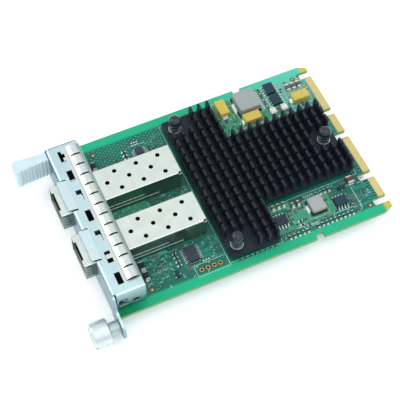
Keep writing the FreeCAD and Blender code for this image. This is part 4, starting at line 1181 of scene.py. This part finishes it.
def plated_rings(art):
    """Header holes with their barrels, press-fit holes by the cages, and fiducials."""
    low, high, inner, outer = 0.02, BOARD_TOP - 0.02, 0.44, 0.48
    barrel = [(low, inner), (low, outer), (high, outer), (high, inner), (low, inner)]
    for x, y in HEADER_SPOTS:
        art.ring(x, y, 0.5, 0.86, "copper")
        art.lathe(barrel, (x, y, 0), 2, "hole", 16)
        claim(*around(x, y, 1))
    for x, y in beside_cages(0.75, (32.3, 34.9, 39.8, 42.3)):
        art.ring(x, y, 0.26, 0.5, "copper_dull", 12)
        art.disc(x, y, 0.26, "hole", sides=12)
        claim(*around(x, y, 0.5))
    for x, y in FIDUCIALS:
        art.disc(x, y, 1.0, "hole", TRACE_LEVEL, 20)
        art.ring(x, y, 0.55, 0.85, "copper_dull")
        art.disc(x, y, 0.35, "tin", FIDUCIAL_LEVEL, 16)
        claim(*around(x, y, 1))


def heatsink_outline(art):
    """White line round the heatsink's stepped foot."""
    gap = 0.75
    x0, x1 = SINK_LOW.x - gap, SINK_HIGH.x + gap * 0.5
    y0, y1, y2 = SINK_LOW.y - gap, WIDE_REAR + gap, SINK_HIGH.y + gap
    n0, n1 = NARROW_LEFT - gap, NARROW_RIGHT + gap
    path = [(x0, y0), (x1, y0), (x1, y1), (n1, y1), (n1, y2), (n0, y2), (n0, y1), (x0, y1), (x0, y0)]
    art.ink_steps(path, 0.16)


def silk_boxes(art):
    """Outlines round the header and the larger parts."""
    art.ink_frame(29.75, 34.65, 34.1, 47.1, 0.16)
    for node, gap in (
        ("tantalum_capacitor_1", 0.8),
        ("tantalum_capacitor_2", 0.7),
        ("tantalum_capacitor_3", 0.8),
        ("power_inductor_large", 0.45),
        ("power_inductor_small", 0.8),
        ("clock_buffer_chip", 0.3),
    ):
        corner_marks(art, *grown(box_of(node), gap))
    wide, narrow = 0.5, -0.2
    for node, by_x, by_y in (
        ("flash_memory_chip", narrow, wide),
        ("power_switch_chip", narrow, wide),
        ("bus_expander_chip", wide, narrow),
    ):
        x0, x1, y0, y1 = grown(box_of(node), by_x, by_y)
        art.ink_frame(x0, x1, y0, y1, 0.14)
        art.disc(x0 - 0.7, y1 + 0.5, 0.22, "silk", SILK_LEVEL)


def corner_marks(art, x0, x1, y0, y1):
    """Outline drawn as four corner brackets."""
    reach = min(x1 - x0, y1 - y0) * 0.38
    for x, inward_x in ((x0, reach), (x1, -reach)):
        for y, inward_y in ((y0, reach), (y1, -reach)):
            art.ink([(x + inward_x, y), (x, y), (x, y + inward_y)], 0.15)


def silk_guides(art):
    """Hatched bar, rounded guide lines and short rules, most of them along the right margin."""
    for i in range(11):
        y = 81.0 + i * 0.42
        art.ink([(31.3, y), (32.0, y + 0.7)], 0.14)
    art.ink_frame(31.1, 32.2, 80.8, 86.4, 0.12)
    for path, width in (
        ([(30.9, 76.4)] + arc_path(32.3, 78.4, 1.4, 180, 90) + [(33.4, 79.8)], 0.2),
        ([(31.6, 92.4)] + arc_path(31.9, 93.4, 1.0, 270, 180) + arc_path(31.9, 100.4, 1.0, 180, 100), 0.2),
        ([(33.6, 101.4)] + arc_path(31.8, 102.6, 1.6, 20, 90) + [(22.8, 104.2)], 0.2),
        ([(20.4, 31.6), (20.4, 28.0), (19.6, 27.2), (19.6, 15.0)], 0.12),
        ([(28.6, 27.4), (26.6, 25.4), (26.6, 18.4)], 0.12),
        ([(-29.4, 32.2), (-29.4, 39.2)], 0.14),
    ):
        art.ink(path, width)


def pad_rows(art):
    """Rows of bare tinned lands beside the power parts and along the heatsink."""
    for x, y, step_x, step_y, count, width, depth in (
        (-33.4, 90.2, 0.95, 0, 10, 0.5, 0.9),
        (-28.6, 93.2, 0.9, 0, 5, 0.5, 0.6),
        (-33.4, 93.2, 0.9, 0, 4, 0.5, 0.6),
        (-19.0, 80.2, 0, 0.9, 8, 0.8, 0.45),
        (18.35, 73.0, 0, 0.8, 13, 0.4, 0.35),
        (19.4, 85.4, 0, 0.9, 5, 0.7, 0.4),
        (29.6, 84.8, 0, 0.8, 7, 0.5, 0.35),
        (-29.6, 34.2, 0, 1.1, 3, 0.6, 0.6),
        (-30.8, 34.2, 0, 1.1, 3, 0.6, 0.6),
        (28.9, 38.6, 0, 1.1, 3, 0.6, 0.6),
    ):
        for i in range(count):
            patch = around(x + step_x * i, y + step_y * i, width / 2, depth / 2)
            if is_free(*patch):
                art.rectangle(*patch, "tin")
                claim(*patch, 0.05)


def silk_ticks(art, x0, x1, y0, y1, count):
    """Short strokes beside the parts, in small groups of two to four."""
    step, longest = 0.34, 0.7
    for _ in range(count):
        x, y = rng.uniform(x0, x1), rng.uniform(y0, y1)
        strokes = rng.randint(2, 4)
        along = rng.random() < 0.5
        width, height = (step * strokes, longest) if along else (longest, step * strokes)
        if not is_free(x, x + width, y, y + height):
            continue
        for i in range(strokes):
            length = rng.uniform(0.4, longest)
            start = (x + i * step, y) if along else (x, y + i * step)
            stop = (start[0], y + length) if along else (x + length, start[1])
            art.ink([start, stop], 0.13)
        claim(x, x + width, y, y + height, 0)


# ---- small parts between the large ones ----
PART_LENGTH, PART_WIDTH, PART_HEIGHT, PART_GAP = 1.0, 0.5, 0.42, 0.12


def place_part(builder, x, y, axis, key):
    """Puts one two-terminal part with its lands on the board if its place is free."""
    half_length, half_width = PART_LENGTH / 2, PART_WIDTH / 2
    half_x, half_y = (half_width, half_length) if axis else (half_length, half_width)
    if not is_free(*around(x, y, half_x + PART_GAP, half_y + PART_GAP)):
        return
    low = Vector((x - half_x, y - half_y, BOARD_TOP))
    high = Vector((x + half_x, y + half_y, BOARD_TOP + PART_HEIGHT))
    chip_part(builder, low, high, key, 0.25, "tin_dull")
    along, across = (y, x) if axis else (x, y)
    land_side, land_end = half_width + 0.05, half_length + 0.16
    for outward in (-1, 1):
        ends = (along + outward * half_length * 0.4, along + outward * land_end)
        builder.land(axis, ends, (across - land_side, across + land_side), "tin_dull")
    claim(*around(x, y, half_x, half_y), PART_GAP)


def scatter(builder, x0, x1, y0, y1, tries, keys):
    """Short rows of parts dropped at random clear places."""
    pitch = 0.95
    for _ in range(tries):
        x, y = rng.uniform(x0, x1), rng.uniform(y0, y1)
        axis = rng.choice((0, 1))
        step_x, step_y = (pitch, 0) if axis else (0, pitch)
        key = rng.choice(keys)
        for i in range(rng.randint(1, 4)):
            part_x, part_y = x + step_x * i, y + step_y * i
            if part_x > x1 or part_y > y1:
                break
            place_part(builder, part_x, part_y, axis, key)


def small_parts():
    """Decoupling capacitors, pull-up resistors and filters that fill the routing areas."""
    builder = Builder("small_chip_parts")
    mixed, pair = ("resistor", "ceramic", "resistor"), ("ceramic", "resistor")
    pale, plain = ("ceramic", "cream", "resistor"), ("resistor",)
    for x, y, step_x, step_y, count, keys in (
        (-17.6, 46.4, 1.3, 0, 12, ("ceramic", "cream")),
        (-3.6, 46.4, 1.15, 0, 14, pair),
        (34.45, 51.2, 0, 2.1, 8, plain),
        (31.4, 70.4, 0, 1.0, 6, mixed),
        (33.2, 101.6, 0, 1.0, 2, plain),
        (30.2, 94.4, 0, 1.1, 2, plain),
        (-18.6, 92.0, 0, 1.0, 9, ("cream", "ceramic")),
        (-33.7, 99.9, 1.1, 0, 9, pair),
        (-34.0, 91.6, 1.1, 0, 10, ("resistor", "ceramic", "cream")),
        (26.6, 31.2, -1.0, 0, 6, mixed),
        (28.9, 33.6, 0, 1.0, 4, plain),
        (20.1, 20.0, 0, 1.0, 5, mixed),
    ):
        for i in range(count):
            place_part(builder, x + step_x * i, y + step_y * i, int(step_x != 0), keys[i % len(keys)])
    for zone in (
        (19.2, 33.4, 18.4, 46.6, 16, mixed),
        (-20.4, -18.9, 15.0, 46.0, 10, mixed),
        (-28.6, -21.6, 18.4, 33.4, 5, pair[::-1]),
        (-30.0, -19.4, 38.6, 46.4, 16, mixed),
        (-3.9, 3.9, 28.4, 45.6, 16, ("ceramic_red", "resistor", "ceramic")),
        (18.8, 33.6, 69.8, 84.0, 20, pair),
        (18.8, 32.2, 84.0, 110.4, 24, mixed),
        (-33.4, -18.0, 69.8, 91.6, 34, pale),
        (-33.4, -18.0, 91.6, 111.0, 34, pale),
    ):
        scatter(builder, *zone)
    builder.build()


def board_art():
    """Everything printed, etched or soldered on the board's top."""
    art = Builder("board_artwork")
    copper_pours(art)
    plated_rings(art)
    traces(art)
    edge_traces(art)
    heatsink_outline(art)
    silk_boxes(art)
    silk_guides(art)
    pad_rows(art)
    via_field(art, -33.2, -20.2, FLANGE_REAR + 1.6, 46.6, 1.6, 0.33)
    via_field(art, 28.4, 33.4, FLANGE_REAR + 1.4, 20.0, 1.5, 0.3)
    small_parts()
    for zone in (
        (19.0, 33.4, 14.4, 47.0),
        (-33.4, -17.6, 69.6, 111.0),
        (18.6, 33.4, 69.6, 111.0),
        (-4.0, 4.0, 14.4, 47.0),
    ):
        scattered_vias(art, *zone, 80)
        silk_ticks(art, *zone, 90)
    art.build()


def underside_art():
    """Solder joints, routing and plane vias under the board."""
    art = Builder("underside_artwork", under=True)
    for x, y in HEADER_SPOTS:
        art.ring(x, y, 0.5, 0.92, "copper")
    for x, y in beside_cages(-0.12, (9.0, 24.0, 40.0)):
        art.ring(x, y, 0.55, 0.95, "tin")
    chip = box_of("controller_chip")
    pitch, border, gap = 1.0, 1.5, 0.6
    blocked = [grown(solid, 0) for solid in solid_boxes("underside_capacitors")]
    count = int((chip[1].x - chip[0].x - 2 * border) / pitch) + 1
    for i in range(count):
        for j in range(count):
            x, y = chip[0].x + border + i * pitch, chip[0].y + border + j * pitch
            if not any(x0 - gap < x < x1 + gap and y0 - gap < y < y1 + gap for x0, x1, y0, y1 in blocked):
                art.disc(x, y, 0.22, "via", sides=6)
    for x0, x1, y0, y1 in blocked:
        art.rectangle(x0 - 0.2, x0 + 0.5, y0 - 0.1, y1 + 0.1, "tin")
        art.rectangle(x1 - 0.5, x1 + 0.2, y0 - 0.1, y1 + 0.1, "tin")
    for points, count in (
        (route(-11.5, 44.0, 52.0, -7.0, 66.5), 6),
        (route(11.5, 44.0, 52.0, 7.5, 66.5), 6),
        (route(-8.0, 94.0, 100.0, -16.0, 111.6), 9),
        (route(0.4, 94.0, 104.0, 3.0, 111.6), 9),
        (route(8.6, 94.0, 99.0, 18.0, 111.6), 9),
        ([(-14.0, 80.0), (-24.0, 80.0), (-28.0, 84.0), (-28.0, 96.0)], 5),
        ([(14.0, 78.0), (23.0, 78.0), (27.0, 82.0), (27.0, 92.0)], 5),
        ([(16.0, 60.0), (26.0, 50.0), (26.0, 28.0)], 5),
        ([(-16.0, 60.0), (-26.0, 50.0), (-26.0, 28.0)], 5),
    ):
        bundle(art, points, count, 0.5, 0.2)
    for _ in range(260):
        x, y = rng.uniform(-33, 33), rng.uniform(15, 110)
        art.disc(x, y, 0.28, "via")
    art.ink_frame(*grown(chip, 1), 0.16)
    art.build()


def flange_painted_shade():
    """Painted shade: a dark sheet on the board below the flange, dark blocks inside the bracket's two
    ends, and a dark core under the finger arch.
    """
    builder = Builder("flange_painted_shade")
    front, rear = 1.1, FLANGE_REAR - 0.4
    builder.rectangle(-33.2, 33.2, front, rear, "hole", PAINTED_SHADE_LEVEL)
    # painted shade: dark blocks inside the bracket's two ends
    for x in (PLATE_LOW.x + 2.2, BOARD_HIGH.x - 4.6):
        builder.box((x, front, BOARD_TOP + 0.1), (x + 0.5, rear, 11.3), "hole")
    # painted shade: a dark core fills the arch under the fingers
    arch = [(7.7, 0), (12.8, 0), (12.2, 0.62), (11.3, 0.99), (10.3, 1.16), (9.0, 0.99), (8.3, 0.48)]
    strip_low, strip_high = box_of("emi_finger_strip")
    left, right = (
        [(x, y, FLANGE_TOP + 0.03 + z) for y, z in arch]
        for x in (strip_low.x + 0.15, strip_high.x - 0.15)
    )
    builder.prism(left, right, "hole")
    builder.build()


def cage_painted_shade():
    """Painted shade: dark sheets inside both ports, seen from the front and through the side seams."""
    wall, film = 0.32, 0.05
    front, rear, lid_rear = -3.0, 30.0, 6.0
    for number, (low, high) in enumerate(CAGES, 1):
        builder = Builder("port_painted_shade_%d" % number)
        x0, x1 = low.x + wall, high.x - wall
        z0, z1 = BOARD_TOP + 0.3 + wall, high.z - wall
        builder.box((x0, front, z0), (x0 + film, rear, z1), "hole")
        builder.box((x1 - film, front, z0), (x1, rear, z1), "hole")
        builder.box((x0, front, z0), (x1, rear, z0 + film), "hole")
        builder.box((x0, front, z1 - film), (x1, lid_rear, z1), "hole")
        builder.build()


def flange_edge_shadow():
    """Painted shadow: fine dark line along the flange's folded far edge."""
    builder = Builder("flange_shadow_line")
    x = PLATE_LOW.x + 0.65
    builder.box((x, 1.0, FLANGE_TOP - 0.03), (x + 0.14, FLANGE_REAR - 0.6, FLANGE_TOP + 0.02), "hole")
    builder.build()


flange_painted_shade()
cage_painted_shade()
flange_edge_shadow()
board_art()
underside_art()


# ---- floor, light, camera ----
def make_floor():
    """Pale floor just below the card, with a little light of its own."""
    mesh = bpy.data.meshes.new("floor")
    size, z = 30.0, cad_box[0][2] - 0.3 * MM
    corners = [(-size, -size, z), (size, -size, z), (size, size, z), (-size, size, z)]
    mesh.from_pydata(corners, [], [(0, 1, 2, 3)])
    pale, paler = (0.95, 0.96, 0.97), (0.97, 0.975, 0.98)
    look = Look("pale_floor", pale, 0.8, specular=0.1)
    look.give("Base Color", look.ramp(look.noise(30), (0.3, pale), (0.7, paler)))
    look.give("Emission Color", (0.97, 0.98, 1.0))
    look.give("Emission Strength", 0.22)
    mesh.materials.append(look.material)
    add_object("floor", mesh)


def area_light(name, place, side, power):
    """Square lamp that faces the card."""
    data = bpy.data.lights.new(name, "AREA")
    data.shape = "SQUARE"
    data.size = side
    data.energy = power
    lamp = add_object(name, data)
    lamp.location = place
    lamp.rotation_euler = (Vector((0, 0.06, 0)) - Vector(place)).to_track_quat("-Z", "Y").to_euler()


def make_light():
    """Bright sky dome that falls off towards the horizon, with a large soft lamp and a smaller one."""
    world = bpy.data.worlds.new("studio")
    bpy.context.scene.world = world
    sky = Nodes(world)
    upward = sky.split("ShaderNodeTexCoord", "Generated")[2]
    dome = sky.ramp(upward, (0.0, (0.62, 0.66, 0.7)), (0.35, (0.80, 0.83, 0.86)), (0.9, (1.0, 1.0, 1.0)))
    background = sky.tree.nodes["Background"].inputs
    sky.put(background["Color"], dome)
    sky.put(background["Strength"], 0.98)
    area_light("key", (0.42, 0.30, 0.98), 1.4, 3.6)
    area_light("rim", (-0.5, -0.55, 0.72), 0.5, 2.2)


CAMERA_PLACE = (0.20676, -0.0486, 0.37021)
CAMERA_RIGHT = (0.4139, 0.9102, 0.0119)
CAMERA_UP = (-0.7801, 0.3480, 0.5199)
CAMERA_VIEW = (-0.4691, 0.2245, -0.8541)
CAMERA_LENS = 100.76


def make_camera():
    data = bpy.data.cameras.new("camera")
    data.lens = CAMERA_LENS
    data.sensor_width = 36
    data.clip_start = 0.01
    camera = add_object("camera", data)
    rotation = Matrix((CAMERA_RIGHT, CAMERA_UP, [-c for c in CAMERA_VIEW])).transposed()
    camera.matrix_world = Matrix.Translation(CAMERA_PLACE) @ rotation.to_quaternion().to_matrix().to_4x4()
    bpy.context.scene.camera = camera


make_floor()
make_light()
make_camera()
bpy.context.scene.view_settings.view_transform = "Standard"
